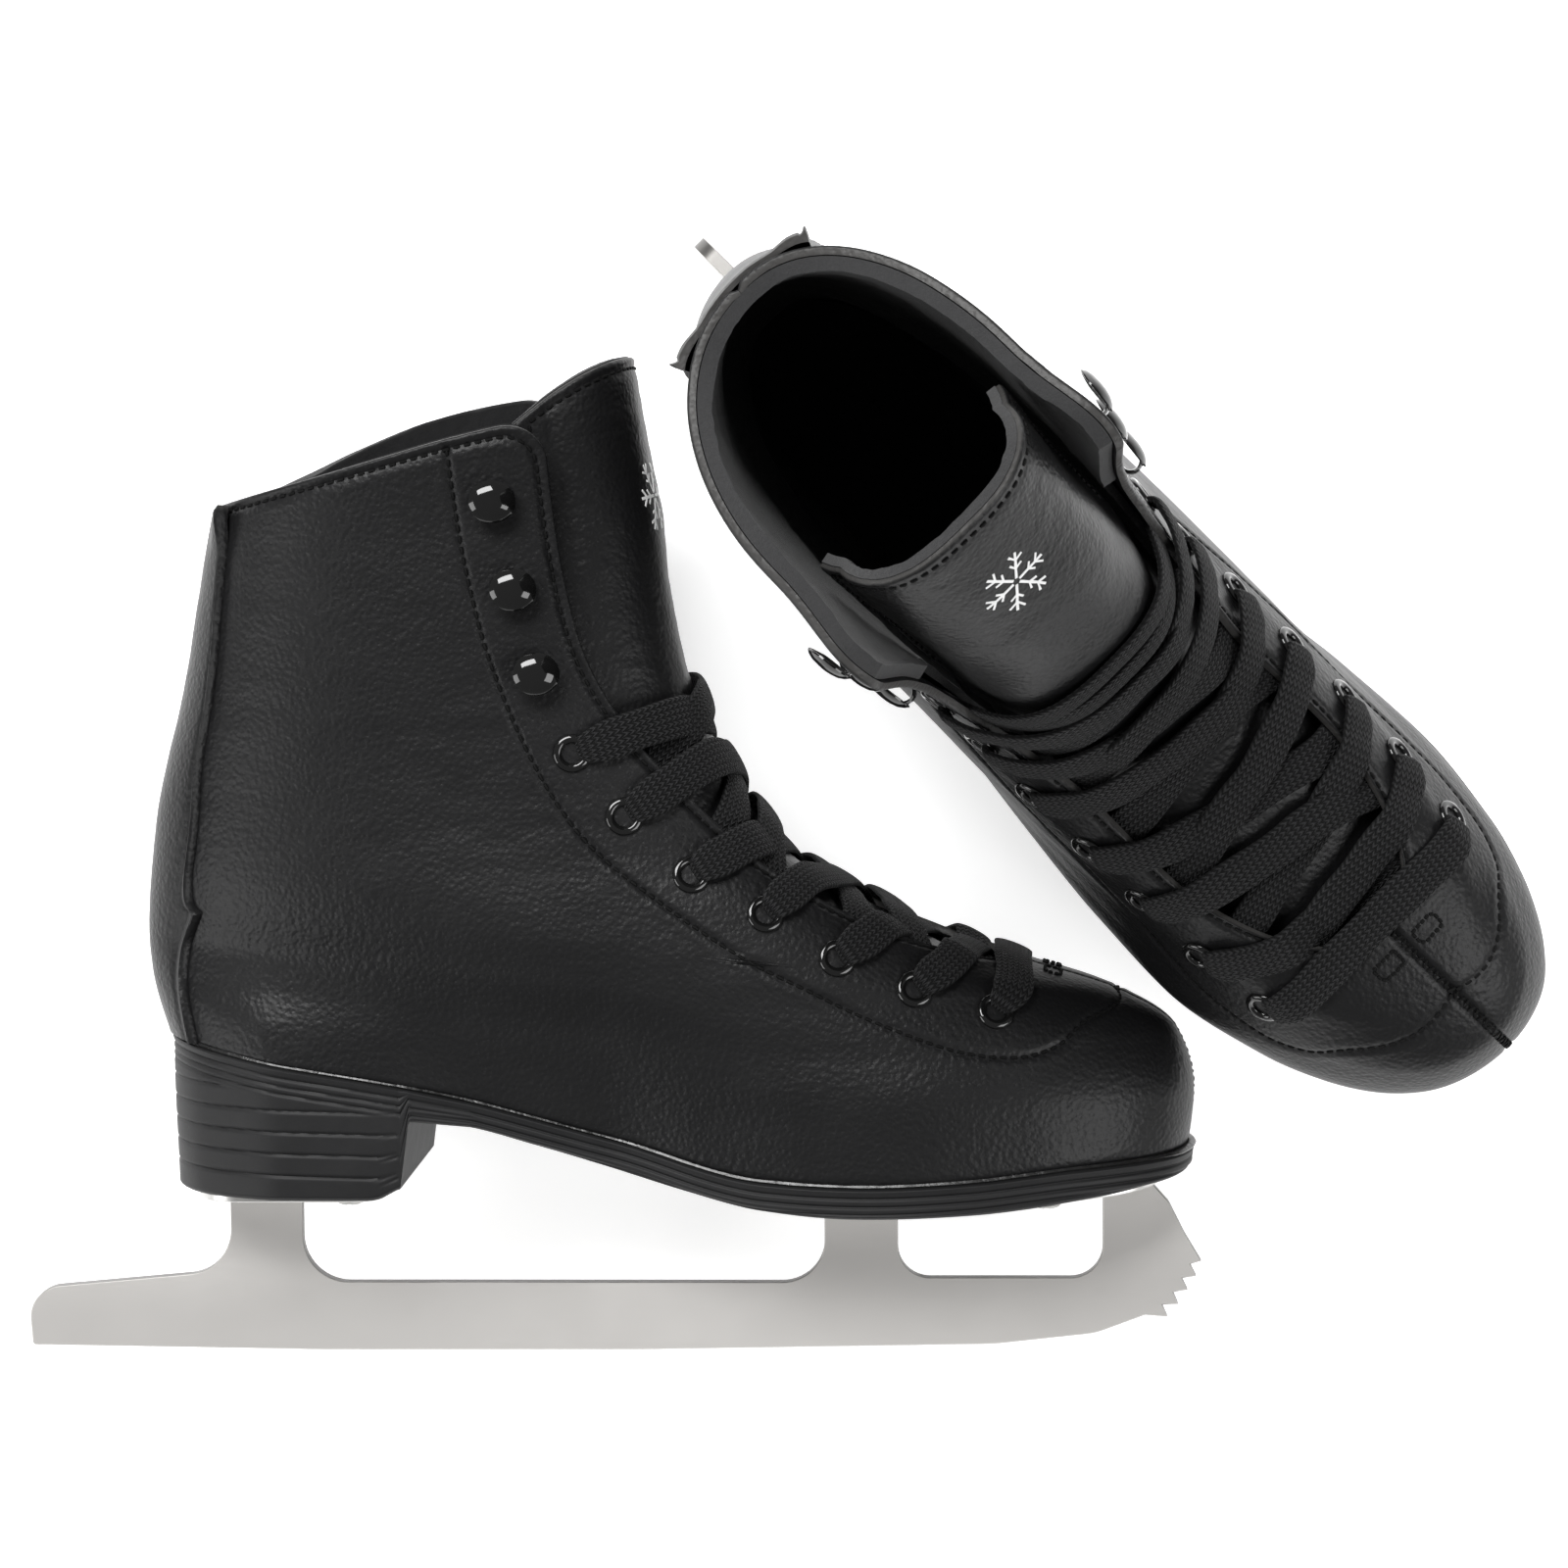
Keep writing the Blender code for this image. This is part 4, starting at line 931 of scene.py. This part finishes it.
def laces(skate):
    """A bar over the lowest eyelets, then pairs that leave each eyelet outwards and cross on the tongue."""
    made = [strand(*lace_path(1, 0, 0, 1), start_narrow=LACE_NARROW, end_narrow=LACE_NARROW)]
    for k in range(1, len(EYELETS)):
        for side in SIDES:
            over = int((side > 0) == (k % 2 == 0))
            made.append(strand(*lace_path(side, k, k - 1, over), start_narrow=LACE_NARROW))
    made += [loose_turn(skate, middle) for middle in LOOSE_TURNS[skate.hand]]
    uvs = np.concatenate([uvs for _, _, uvs in made])
    solid = merge([m[:2] for m in made])
    skate.add("lace_braided", *solid, "braid", "lace_braid", uvs=uvs, replaces=["lace"])


# ---------------------------------------------------------------- sole, blade, plates

BLADE_THICK = 4.0
BLADE_BEVEL = 0.22
# Corners x, z of the blade, each with the radius that rounds it: tail, posts, toe picks, edge.
BLADE_OUTLINE = (
    (-41.6, 1.4, 1.0), (-42.6, 17.4, 9.0), (14.6, 22.6, 13.0), (14.6, 45.3, 0.0), (34.7, 45.3, 0.0),
    (34.7, 19.3, 13.0), (181.0, 19.2, 12.0), (181.0, 42.1, 0.0), (201.5, 42.1, 0.0), (201.5, 20.5, 9.0),
    (259.0, 20.5, 9.0), (259.0, 46.5, 0.0), (272.5, 47.6, 0.0), (277.5, 42.0, 4.0), (282.0, 33.0, 6.0),
    (286.6, 25.3, 0.0), (283.5, 24.4, 0.0), (285.2, 21.0, 0.0), (281.2, 20.4, 0.0), (282.8, 17.1, 0.0),
    (278.8, 16.4, 0.0), (280.2, 13.0, 0.0), (275.7, 12.8, 0.0), (277.2, 9.4, 0.0), (270.9, 9.9, 0.0),
    (257.0, 4.7, 20.0), (228.5, 1.6, 60.0), (130.0, 0.0, 0.0), (40.0, 0.0, 0.0),
)
# Where the blade's posts start and end along x.
POSTS = ((14.6, 34.7), (181.0, 201.5), (259.0, 272.5))
PLATE_THICK = 2.0
# How deep the plates are pressed into the sole.
PLATE_SINK = 0.3
PLATE_BEVEL = 0.3
# Start, end and width of each plate.
HEEL_PLATE = (8.0, 60.0, 44.0)
SOLE_PLATE = (172.0, 276.0, 50.0)
SCREWS = {
    "heel": ((50.0, -13.0), (50.0, 13.0)),
    "sole": ((190.0, -17.0), (190.0, 17.0), (243.0, -17.0), (243.0, 17.0)),
}
# Radius and height of a screw, from its tip inside the sole down to its head.
SCREW_PROFILE = (
    (0.0, 10.0), (1.5, 7.5), (1.5, 0.6), (3.7, -0.7), (3.85, -1.0), (3.5, -1.5), (2.6, -1.9), (0.0, -2.1),
)
# Grooves moulded round the sole's edge, in mm under its rim, and round the heel, in mm over its foot.
EDGE_GROOVES = (2.6, 4.9, 7.0)
HEEL_GROOVES = (6.2, 12.2, 18.2, 24.2, 30.2)
GROOVE_DEPTH = 0.55
GROOVE_WIDTH = 0.42
# How much the heel's grooves rise from its breast to its back.
GROOVE_RISE = 1.6
# How far the wall swells under the rim, draws in down the heel, and is rounded at the foot.
RIM_SWELL = 0.5
HEEL_TAPER = 0.9
FOOT_ROUNDING = 1.4
# Close sections where the heel's breast falls away.
BREAST_STEPS = (-3.4, -3.0, -2.6, -2.2, 0.0, 0.6, 1.2)
CORNER_CUT = 3.2
# The joint's dark line: how far inside the sole's edge it runs, and its half width and height.
WELT_INSET = 1.6
WELT_RADII = (1.15, 0.9)
WELT_STEPS = 240
# A weld bead: its centre out from the blade's middle plane, and its mean radius.
BEAD_OFFSET = 2.3
BEAD_RADIUS = 0.9
# A screw's cross: half width of its arms, their reach from the axis, and their depth.
CROSS_HALF = 0.55
CROSS_REACH = 2.8
CROSS_DEPTH = 0.8
# How far inside the sole's edge the footbed ends, and the heights of its faces over the sole line.
FOOTBED_INSET = 10.3
FOOTBED_HEIGHTS = (8.0, 4.6)


def outsole(skate):
    """The unit sole and its heel: a loft of sections across the foot, with the grooves in its wall."""
    turns = np.concatenate((np.linspace(0.0, 0.31, 70), np.linspace(0.37, 1.0, 150)))
    breast = HEEL_BREAST + np.array(BREAST_STEPS)
    stations = np.unique(np.concatenate((place_of(turns) * SOLE_LENGTH, breast)))
    seat_z = smooth(SOLE_LINE, stations) - 0.4
    # The breast leans forward a little and its lower corner is cut off round.
    heel_share = 1 - ease(stations, HEEL_BREAST - 2.4, HEEL_BREAST + 0.4)
    corner = CORNER_CUT * ease(stations, HEEL_BREAST - 13.0, HEEL_BREAST - 2.0) ** 2
    floor_z = heel_share * (HEEL_UNDER + corner) + (1 - heel_share) * smooth(SOLE_UNDER, stations)
    z = seat_z[:, None] + (floor_z - seat_z)[:, None] * np.linspace(0, 1, 110)

    below_rim = seat_z[:, None] - z
    wall = RIM_SWELL * bell(below_rim, 1.6) - 1.2 * np.clip(1 - below_rim / 0.7, 0, 1) ** 2
    for mark in EDGE_GROOVES:
        wall -= GROOVE_DEPTH * bell(below_rim - mark, GROOVE_WIDTH)
    in_heel = (1 - ease(stations, HEEL_BREAST - 3.5, HEEL_BREAST - 2.5))[:, None] * ease(below_rim, 8.0, 9.0)
    to_breast = (1 - np.clip(stations / HEEL_BREAST, 0, 1))[:, None]
    for mark in HEEL_GROOVES:
        wall -= in_heel * GROOVE_DEPTH * bell(z - HEEL_UNDER - mark - to_breast * GROOVE_RISE, GROOVE_WIDTH)
    wall -= HEEL_TAPER * ease(below_rim, 8.0, 50.0)
    wall -= FOOT_ROUNDING * np.clip(1 - (z - floor_z[:, None]) / FOOT_ROUNDING, 0, 1) ** 2

    halves = {}
    for side in SIDES:
        half = sole_half(stations / SOLE_LENGTH, side)
        slope = np.gradient(half, stations + np.arange(len(stations)) * 1e-6)
        out = np.stack((-slope, np.ones(len(stations))), 1)
        out /= np.linalg.norm(out, axis=1)[:, None]
        out[0], out[-1] = (-1.0, 0.0), (1.0, 0.0)
        x = stations[:, None] + wall * out[:, :1]
        y = side * np.maximum(half[:, None] + wall * out[:, 1:], 0.0)
        halves[side] = np.stack((x, y, z), -1)

    def row_across(column, way):
        """Points between the two halves' edges, from one side to the other."""
        first, last = halves[way][:, column], halves[-way][:, column]
        shares = np.linspace(1, 0, 9)[1:-1]
        return np.stack([first * share + last * (1 - share) for share in shares], axis=1)

    sections = (halves[1], row_across(-1, 1), halves[-1][:, ::-1], row_across(0, -1))
    solid = tube(np.concatenate(sections, axis=1))
    skate.add("sole_moulded", *solid, "rubber", "sole_rubber", replaces=["outsole"])


def welt(skate):
    """The dark line of glue in the joint between the upper and the sole."""
    out_and_back = np.linspace(0.0, 1.0, WELT_STEPS)
    turns = np.concatenate((out_and_back, out_and_back[-2:0:-1]))
    side = np.concatenate((np.ones(WELT_STEPS), -np.ones(WELT_STEPS - 2)))
    place = place_of(turns)
    x = place * SOLE_LENGTH
    y = side * np.maximum(sole_half(place, side) - WELT_INSET, 0.0)
    centre = np.stack((x, y, smooth(SOLE_LINE, x) + 0.1), 1)
    flat = np.gradient(np.concatenate((centre[-2:], centre, centre[:2])), axis=0)[2:-2]
    out = np.stack((flat[:, 1], -flat[:, 0], np.zeros(len(flat))), 1)
    out /= np.linalg.norm(out, axis=1)[:, None] + 1e-9
    angles = round_angles(8)
    lumps = 1 + 0.2 * noise(centre, 5.0, 51)
    half_width, half_height = WELT_RADII
    rings = centre[:, None] + (lumps[:, None] * half_width * np.cos(angles))[..., None] * out[:, None]
    rings = rings + np.sin(angles)[None, :, None] * (0.0, 0.0, half_height)
    skate.add("welt_joint", *tube(rings, closed=True), "glue", "sole_rubber")


def rounded(corners, arc_steps=14):
    """The outline with each corner x, z replaced by an arc of its radius."""
    made = []
    for k, (x, z, radius) in enumerate(corners):
        here = np.array((x, z))
        if radius == 0:
            made.append(here)
            continue
        before = np.array(corners[k - 1][:2]) - here
        after = np.array(corners[(k + 1) % len(corners)][:2]) - here
        before /= np.linalg.norm(before)
        after /= np.linalg.norm(after)
        half = math.acos(float(np.clip(before @ after, -1, 1))) / 2
        centre = here + (before + after) / np.linalg.norm(before + after) * radius / math.sin(half)
        start = here + before * radius / math.tan(half) - centre
        end = here + after * radius / math.tan(half) - centre
        swing = math.atan2(start[0] * end[1] - start[1] * end[0], start @ end)
        sideways = np.array((-start[1], start[0]))
        for a in np.arange(arc_steps + 1) * swing / arc_steps:
            made.append(centre + math.cos(a) * start + math.sin(a) * sideways)
    return np.array(made)


def inset(outline, width):
    """The closed outline moved inwards, corner by corner."""
    before = outline - np.roll(outline, 1, axis=0)
    after = np.roll(outline, -1, axis=0) - outline
    before /= np.linalg.norm(before, axis=1)[:, None] + 1e-9
    after /= np.linalg.norm(after, axis=1)[:, None] + 1e-9
    normal = np.stack((before[:, 1] + after[:, 1], -before[:, 0] - after[:, 0]), 1)
    size = np.linalg.norm(normal, axis=1)[:, None]
    following = np.roll(outline, -1, axis=0)
    area = np.sum(outline[:, 0] * following[:, 1] - following[:, 0] * outline[:, 1])
    reach = np.minimum(2 / np.maximum(size, 0.8), 1.6)
    return outline - np.sign(area) * normal / (size + 1e-9) * width * reach


def plate(outline, low, high, bevel, place):
    """A flat plate with eased edges: place puts an outline point and a height into the skate's frame."""
    slim = inset(outline, bevel)
    rings = ((slim, low), (outline, low + bevel), (outline, high - bevel), (slim, high))
    return tube(np.array([[place(a, b, height) for a, b in ring] for ring, height in rings]))


def blade(skate):
    half = BLADE_THICK / 2
    outline = rounded(BLADE_OUTLINE)
    points, faces = plate(outline, -half, half, BLADE_BEVEL, lambda a, b, height: (a, height, b))
    # Painted shade: this mask marks the blade's edge faces, which the steel material paints dark.
    painted_shade_edge = np.where(np.abs(points[:, 1]) < half - BLADE_BEVEL / 2, 1.0, 0.0)
    uvs = np.stack((painted_shade_edge, points[:, 0] * 0.01), 1)
    skate.add("blade_steel", points, faces, "brushed", "blade_steel", uvs=uvs, replaces=["blade"])


def plate_top(x):
    """Height of the plates' upper faces under the heel and the sole."""
    return (HEEL_UNDER if x < HEEL_BREAST else float(smooth(SOLE_UNDER, x))) - PLATE_SINK


def plates(skate):
    """The heel plate and the sole plate, with a weld bead along each post of the blade."""

    def laid(a, b, height):
        return (a, b, plate_top(a) + height)

    def add_plate(name, outline):
        solid = plate(outline, -PLATE_THICK, 0.0, PLATE_BEVEL, laid)
        skate.add(f"{name}_steel", *solid, "plate_steel", "plate_steel", replaces=[name])

    start, end, width = HEEL_PLATE
    edge = width / 2
    corners = ((start, -edge, 12), (end, -edge, 9), (end, edge, 9), (start, edge, 12))
    add_plate("heel_plate", rounded(corners, 8))
    start, end, width = SOLE_PLATE
    x = start + (end - start) * place_of(np.linspace(0, 1, 61))
    middle = (2 * x - start - end) / (end - start)
    half = width / 2 * np.sqrt(np.clip(1 - np.abs(middle) ** 7, 0, 1)) * (1 - 0.08 * middle)
    sides = (np.stack((x, -half), 1), np.stack((x, half), 1)[::-1][1:-1])
    add_plate("sole_plate", np.concatenate(sides))
    beads = []
    for x_from, x_to in POSTS:
        for way in (-1, 1):
            rings = []
            for x in np.linspace(x_from + 1, x_to - 1, 40):
                z = plate_top(x) - PLATE_THICK - 0.2
                swell = BEAD_RADIUS + 0.12 * math.sin(x * 4.2)
                turns = [(swell * math.cos(a), swell * math.sin(a)) for a in round_angles(10)]
                rings.append([(x, way * (BEAD_OFFSET + out), z + up) for out, up in turns])
            beads.append(tube(np.array(rings)))
    skate.add("weld_beads", *merge(beads), "plate_steel", "plate_steel")


def screws(skate):
    """Countersunk cross-head screws, their heads level with the plates."""
    points, faces = turned([(max(r, 0.02), z) for r, z in SCREW_PROFILE], 48)
    crossed = np.abs(points[:, :2]).min(axis=1) < CROSS_HALF
    in_head = (np.hypot(points[:, 0], points[:, 1]) < CROSS_REACH) & (points[:, 2] < -2 * CROSS_DEPTH)
    points[:, 2] += np.where(crossed & in_head, CROSS_DEPTH, 0.0)
    number = 0
    for group, places in SCREWS.items():
        for x, y in places:
            number += 1
            name = f"{group}_screw_{number}"
            placed = points + (x, y, plate_top(x) - PLATE_THICK)
            skate.add(f"{name}_crosshead", placed, faces, "plate_steel", "plate_steel", replaces=[name])


def footbed(skate):
    """A soft insole that fills the boot's floor."""
    stations = place_of(np.linspace(0.06, 0.955, 110)) * SOLE_LENGTH
    x, c = np.meshgrid(stations, np.sin(np.linspace(-1, 1, 41) * math.pi / 2), indexing="ij")
    side = np.where(c >= 0, 1, -1)
    y = c * np.maximum(sole_half(x / SOLE_LENGTH, side) - FOOTBED_INSET, 1.0)
    z = smooth(SOLE_LINE, x)
    dish = 1.6 * np.abs(c) ** 4 * (1 - ease(x, 90, 160)) + 0.3 * noise(np.stack((x, y, z), -1), 14.0, 61)
    high, low = FOOTBED_HEIGHTS
    top, under_face = np.stack((x, y, z + high + dish), -1), np.stack((x, y, z + low), -1)
    none = np.zeros(x.shape)
    skate.add_shell("footbed_felt", top, under_face, "felt", "felt_lining", none, none, replaces=["footbed"])


# ---------------------------------------------------------------- materials


def grey(level):
    return (level, level, level)


class Nodes:
    """A material's node tree, with short calls for the nodes that these materials share."""

    def __init__(self, name, colour, roughness, metallic=0.0):
        self.material = bpy.data.materials.new(name)
        self.material.use_nodes = True
        self.tree = self.material.node_tree
        self.shader = self.tree.nodes["Principled BSDF"]
        self.set("Base Color", (*colour, 1.0)).set("Roughness", roughness).set("Metallic", metallic)
        self.coords = self.node("ShaderNodeTexCoord").outputs["Object"]

    def set(self, socket, value):
        self.shader.inputs[socket].default_value = value
        return self

    def node(self, kind, **settings):
        made = self.tree.nodes.new(kind)
        for key, value in settings.items():
            setattr(made, key, value)
        return made

    def fill(self, sockets, values):
        """Each socket joined to its value, where that is another socket, or else set to it."""
        for socket, value in zip(sockets, values):
            if isinstance(value, bpy.types.NodeSocket):
                self.tree.links.new(value, socket)
            else:
                socket.default_value = value

    def math(self, operation, a, b=0.0, c=0.0):
        made = self.node("ShaderNodeMath", operation=operation)
        self.fill(made.inputs, (a, b, c))
        return made.outputs[0]

    def sum(self, a, share, b):
        """A share of one value, and the rest of another."""
        return self.math("ADD", self.math("MULTIPLY", a, share), self.math("MULTIPLY", b, 1 - share))

    def noise(self, scale, detail=4.0, roughness=0.55, stretch=(1.0, 1.0, 1.0)):
        mapping = self.node("ShaderNodeMapping")
        self.fill((mapping.inputs["Vector"], mapping.inputs["Scale"]), (self.coords, stretch))
        made = self.node("ShaderNodeTexNoise")
        sockets = [made.inputs[key] for key in ("Vector", "Scale", "Detail", "Roughness")]
        self.fill(sockets, (mapping.outputs[0], scale, detail, roughness))
        return made.outputs["Fac"]

    def pebbles(self, scale):
        made = self.node("ShaderNodeTexVoronoi", feature="SMOOTH_F1")
        self.fill((made.inputs["Vector"], made.inputs["Scale"]), (self.coords, scale))
        return made.outputs["Distance"]

    def roughness_from(self, value, low, high):
        """The roughness from low to high as the value goes from 0 to 1."""
        made = self.node("ShaderNodeMapRange")
        self.fill([made.inputs[key] for key in ("Value", "To Min", "To Max")], (value, low, high))
        self.fill((self.shader.inputs["Roughness"],), made.outputs)
        return self

    def blend(self, value, low, high):
        """The colour from low to high as the value goes from 0 to 1; each is a colour or a socket."""
        made = self.node("ShaderNodeMix", data_type="RGBA")
        low, high = [(*c, 1.0) if isinstance(c, tuple) else c for c in (low, high)]
        self.fill((made.inputs[0], made.inputs[6], made.inputs[7]), (value, low, high))
        return made.outputs[2]

    def paint(self, *blend):
        self.fill((self.shader.inputs["Base Color"],), (self.blend(*blend),))
        return self

    def bumps(self, *layers):
        """Bump layers of (height, strength, distance in metres), the coarsest first."""
        normal = None
        for layer in layers:
            bump = self.node("ShaderNodeBump")
            self.fill([bump.inputs[key] for key in ("Height", "Strength", "Distance")], layer)
            if normal:
                self.fill((bump.inputs["Normal"],), (normal,))
            normal = bump.outputs["Normal"]
        self.fill((self.shader.inputs["Normal"],), (normal,))
        return self

    def along(self):
        """The two parts of the piece's own UV map."""
        uv = self.node("ShaderNodeUVMap", uv_map="along")
        parts = self.node("ShaderNodeSeparateXYZ")
        self.fill(parts.inputs, uv.outputs)
        return parts.outputs[0], parts.outputs[1]


def mottled(base, noise, bump, tones=None, roughness=None):
    """A plain material: one noise makes its bumps and, where given, its tones and its roughness."""
    m = Nodes(*base)
    value = m.noise(*noise)
    if tones:
        m.paint(value, *tones)
    if roughness:
        m.roughness_from(value, *roughness)
    return m.bumps((value, *bump))


def leather():
    """Black coated leather: pebbled grain, fine wrinkles, and a grey cut edge."""
    m = Nodes("leather", (0.02, 0.02, 0.021), 0.45)
    grain = m.pebbles(760.0)
    wrinkle = m.noise(230.0, 6.0, 0.62)
    cloud = m.noise(22.0, 3.0)
    pores = m.noise(1500.0, 2.0)
    rim, _ = m.along()
    tone = m.blend(cloud, (0.0035, 0.0035, 0.0038), (0.0075, 0.0075, 0.0078))
    m.paint(rim, tone, (0.034, 0.033, 0.032))
    m.roughness_from(m.sum(cloud, 0.6, pores), 0.33, 0.5)
    m.bumps((wrinkle, 0.26, 0.0005), (grain, 0.6, 0.00032), (pores, 0.45, 0.00014))
    return m.set("Specular IOR Level", 0.21)


def felt():
    """Black brushed felt, its cut edges greyer where the fibres show."""
    m = Nodes("felt", (0.006, 0.006, 0.0065), 0.97)
    fibres = m.noise(1900.0, 5.0, 0.8)
    tufts = m.noise(420.0, 4.0, 0.7)
    rim, _ = m.along()
    body = m.blend(tufts, (0.003, 0.003, 0.0035), (0.012, 0.012, 0.0125))
    edge = m.blend(fibres, (0.009, 0.009, 0.0095), (0.04, 0.04, 0.041))
    m.paint(rim, body, edge)
    m.bumps((tufts, 0.5, 0.0008), (fibres, 0.8, 0.0004))
    return m.set("Sheen Weight", 0.12).set("Sheen Roughness", 0.6).set("Specular IOR Level", 0.1)


def rubber():
    """Moulded black rubber: matt, faintly speckled and scuffed."""
    m = Nodes("rubber", (0.022, 0.022, 0.023), 0.55)
    speckle = m.noise(900.0, 3.0, 0.6)
    scuff = m.noise(60.0, 5.0, 0.7)
    m.paint(scuff, (0.006, 0.006, 0.0063), (0.012, 0.012, 0.0125))
    m.roughness_from(scuff, 0.42, 0.66)
    m.bumps((scuff, 0.12, 0.0006), (speckle, 0.25, 0.00015))
    return m.set("Specular IOR Level", 0.22)


def brushed():
    """Blade steel, brushed along its length with faint scratches and a cloudy tone; its edge faces are
    painted dark as painted shade.
    """
    m = Nodes("brushed_steel", (0.7, 0.685, 0.665), 0.34, 0.8)
    fine = m.noise(160.0, 8.0, 0.7, (1.0, 24.0, 24.0))
    scratches = m.noise(420.0, 4.0, 0.6, (1.0, 9.0, 9.0))
    cloud = m.noise(14.0, 3.0)
    painted_shade_edge, _ = m.along()
    face = m.blend(cloud, (0.65, 0.632, 0.61), (0.76, 0.74, 0.715))
    # Painted shade: the blade's edge faces get a dark steel colour, as they look in shade.
    m.paint(painted_shade_edge, face, (0.14, 0.136, 0.13))
    m.roughness_from(m.sum(fine, 0.7, cloud), 0.3, 0.5)
    m.bumps((scratches, 0.06, 0.0002), (fine, 0.12, 0.00012))
    return m.set("Anisotropic", 0.4)


def braid():
    """A flat knitted lace: columns of small V stitches along its length, with painted shade in the hollows
    between them and painted highlight on their tops.
    """
    m = Nodes("lace_braid", (0.012, 0.012, 0.0125), 0.82)
    along, across = m.along()
    part = m.math("FRACT", m.math("MULTIPLY", across, 7.0))
    from_middle = m.math("ABSOLUTE", m.math("SUBTRACT", part, 0.5))
    rows = m.math("MULTIPLY", along, 52.0)
    phase = m.math("FRACT", m.math("ADD", rows, m.math("MULTIPLY", from_middle, 1.3)))
    wave = m.math("SINE", m.math("MULTIPLY", phase, math.tau))
    ridge = m.math("SUBTRACT", 1.0, m.math("POWER", m.math("MULTIPLY", from_middle, 2.0), 3.0))
    stitch_height = m.math("MULTIPLY", m.math("ADD", m.math("MULTIPLY", wave, 0.5), 0.5), ridge)
    fibres = m.noise(2600.0, 3.0, 0.7)
    # Painted shade and highlight: the colour runs from near black in the hollows between stitches to lighter
    # grey on their tops.
    m.paint(stitch_height, (0.0008, 0.0008, 0.0009), (0.024, 0.024, 0.025))
    m.bumps((stitch_height, 1.0, 0.0007), (fibres, 0.5, 0.00012))
    return m.set("Sheen Weight", 0.03).set("Sheen Roughness", 0.45).set("Specular IOR Level", 0.14)


def plain_materials():
    """The materials that one noise is enough for."""
    steel_tones = ((0.42, 0.415, 0.405), (0.62, 0.615, 0.6))
    steel = ("plate_steel", (0.55, 0.545, 0.53), 0.36, 1.0)
    board = ("fibreboard", (0.2, 0.17, 0.13), 0.85)
    board_tones = ((0.13, 0.11, 0.08), (0.28, 0.235, 0.18))
    enamel = mottled(("black_enamel", grey(0.004), 0.08), (260.0, 2.0), (0.05, 0.0002), None, (0.04, 0.1))
    enamel.set("Specular IOR Level", 0.35).set("Coat Weight", 0.25).set("Coat Roughness", 0.04)
    thread_tones = (grey(0.001), grey(0.005))
    thread = mottled(("waxed_thread", grey(0.003), 0.75), (1400.0, 3.0, 0.6), (0.5, 0.0002), thread_tones)
    thread.set("Specular IOR Level", 0.12)
    return {
        "plate_steel": mottled(steel, (90.0, 6.0, 0.65), (0.1, 0.0003), steel_tones, (0.28, 0.5)),
        "enamel": enamel,
        "thread": thread,
        "glue": mottled(("joint_glue", grey(0.004), 0.25), (380.0, 3.0), (0.5, 0.0006), None, (0.15, 0.5)),
        "print": mottled(
            ("white_print", grey(0.8), 0.45), (500.0, 4.0), (0.15, 0.0001), (grey(0.7), grey(0.84))
        ),
        "board": mottled(board, (700.0, 5.0, 0.75), (0.3, 0.0002), board_tones),
    }


def pale_floor():
    m = Nodes("pale_floor", grey(0.9), 0.9).set("Specular IOR Level", 0.0)
    return m.set("Emission Color", (1.0, 1.0, 1.0, 1.0)).set("Emission Strength", 0.5)


NODES = {"leather": leather(), "felt": felt(), "rubber": rubber(), "brushed": brushed(), "braid": braid()}
NODES.update(plain_materials())
MATERIALS = {name: nodes.material for name, nodes in NODES.items()}
# Hidden pieces that keep the model's own shape.
CARRIED = {"shank": "plate_steel", "insole_board": "board", "heel_counter": "board", "toe_puff": "board"}


# ---------------------------------------------------------------- the pair, the stage and the camera

FLOOR_DROP = 0.0005
SENSOR_WIDTH = 36.0
MAKERS = (
    toe_seam_stitches, backstay, lining, tongue, laces, outsole, welt, blade, plates, screws, footbed,
)


def build(hand):
    skate = Skate(hand)
    for side in (1, -1):
        quarter(skate, side)
        upper_stitches(skate, side)
        eyelets_and_hooks(skate, side)
    for make in MAKERS:
        make(skate)
    for node, material in CARRIED.items():
        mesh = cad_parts[f"{hand}_{node}"].data
        mesh.materials.clear()
        mesh.materials.append(MATERIALS[material])


def put_in_scene(name, data, location):
    """A new object with its data in the scene."""
    made = bpy.data.objects.new(name, data)
    made.location = location
    bpy.context.scene.collection.objects.link(made)
    return made


def stage():
    """A pale floor, soft boxes all round, and the camera straight above."""
    data = bpy.data.meshes.new("studio_floor")
    corners = [(x * FLOOR_REACH, y * FLOOR_REACH, 0) for x, y in ((-1, -1), (1, -1), (1, 1), (-1, 1))]
    data.from_pydata(corners, [], [(0, 1, 2, 3)])
    data.materials.append(pale_floor().material)
    floor = put_in_scene("studio_floor", data, (0, 0, -FLOOR_DROP))

    world = bpy.data.worlds.new("studio")
    world.use_nodes = True
    background = world.node_tree.nodes["Background"].inputs
    background["Color"].default_value = (1.0, 1.0, 1.0, 1.0)
    background["Strength"].default_value = WORLD_LIGHT
    bpy.context.scene.world = world
    for name, location, target, size, watts in SOFT_BOXES:
        data = bpy.data.lights.new(name, "AREA")
        data.shape = "RECTANGLE"
        data.size, data.size_y = size
        data.energy = watts
        light = put_in_scene(name, data, location)
        light.rotation_euler = (Vector(target) - Vector(location)).to_track_quat("-Z", "Y").to_euler()

    data = bpy.data.cameras.new("camera")
    data.sensor_width = SENSOR_WIDTH
    data.lens = CAMERA_LENS
    data.shift_x, data.shift_y = CAMERA_SHIFT
    bpy.context.scene.camera = put_in_scene("camera", data, CAMERA_PLACE)
    bpy.context.scene.view_settings.view_transform = "Standard"


stage()
for hand in PLACES:
    build(hand)
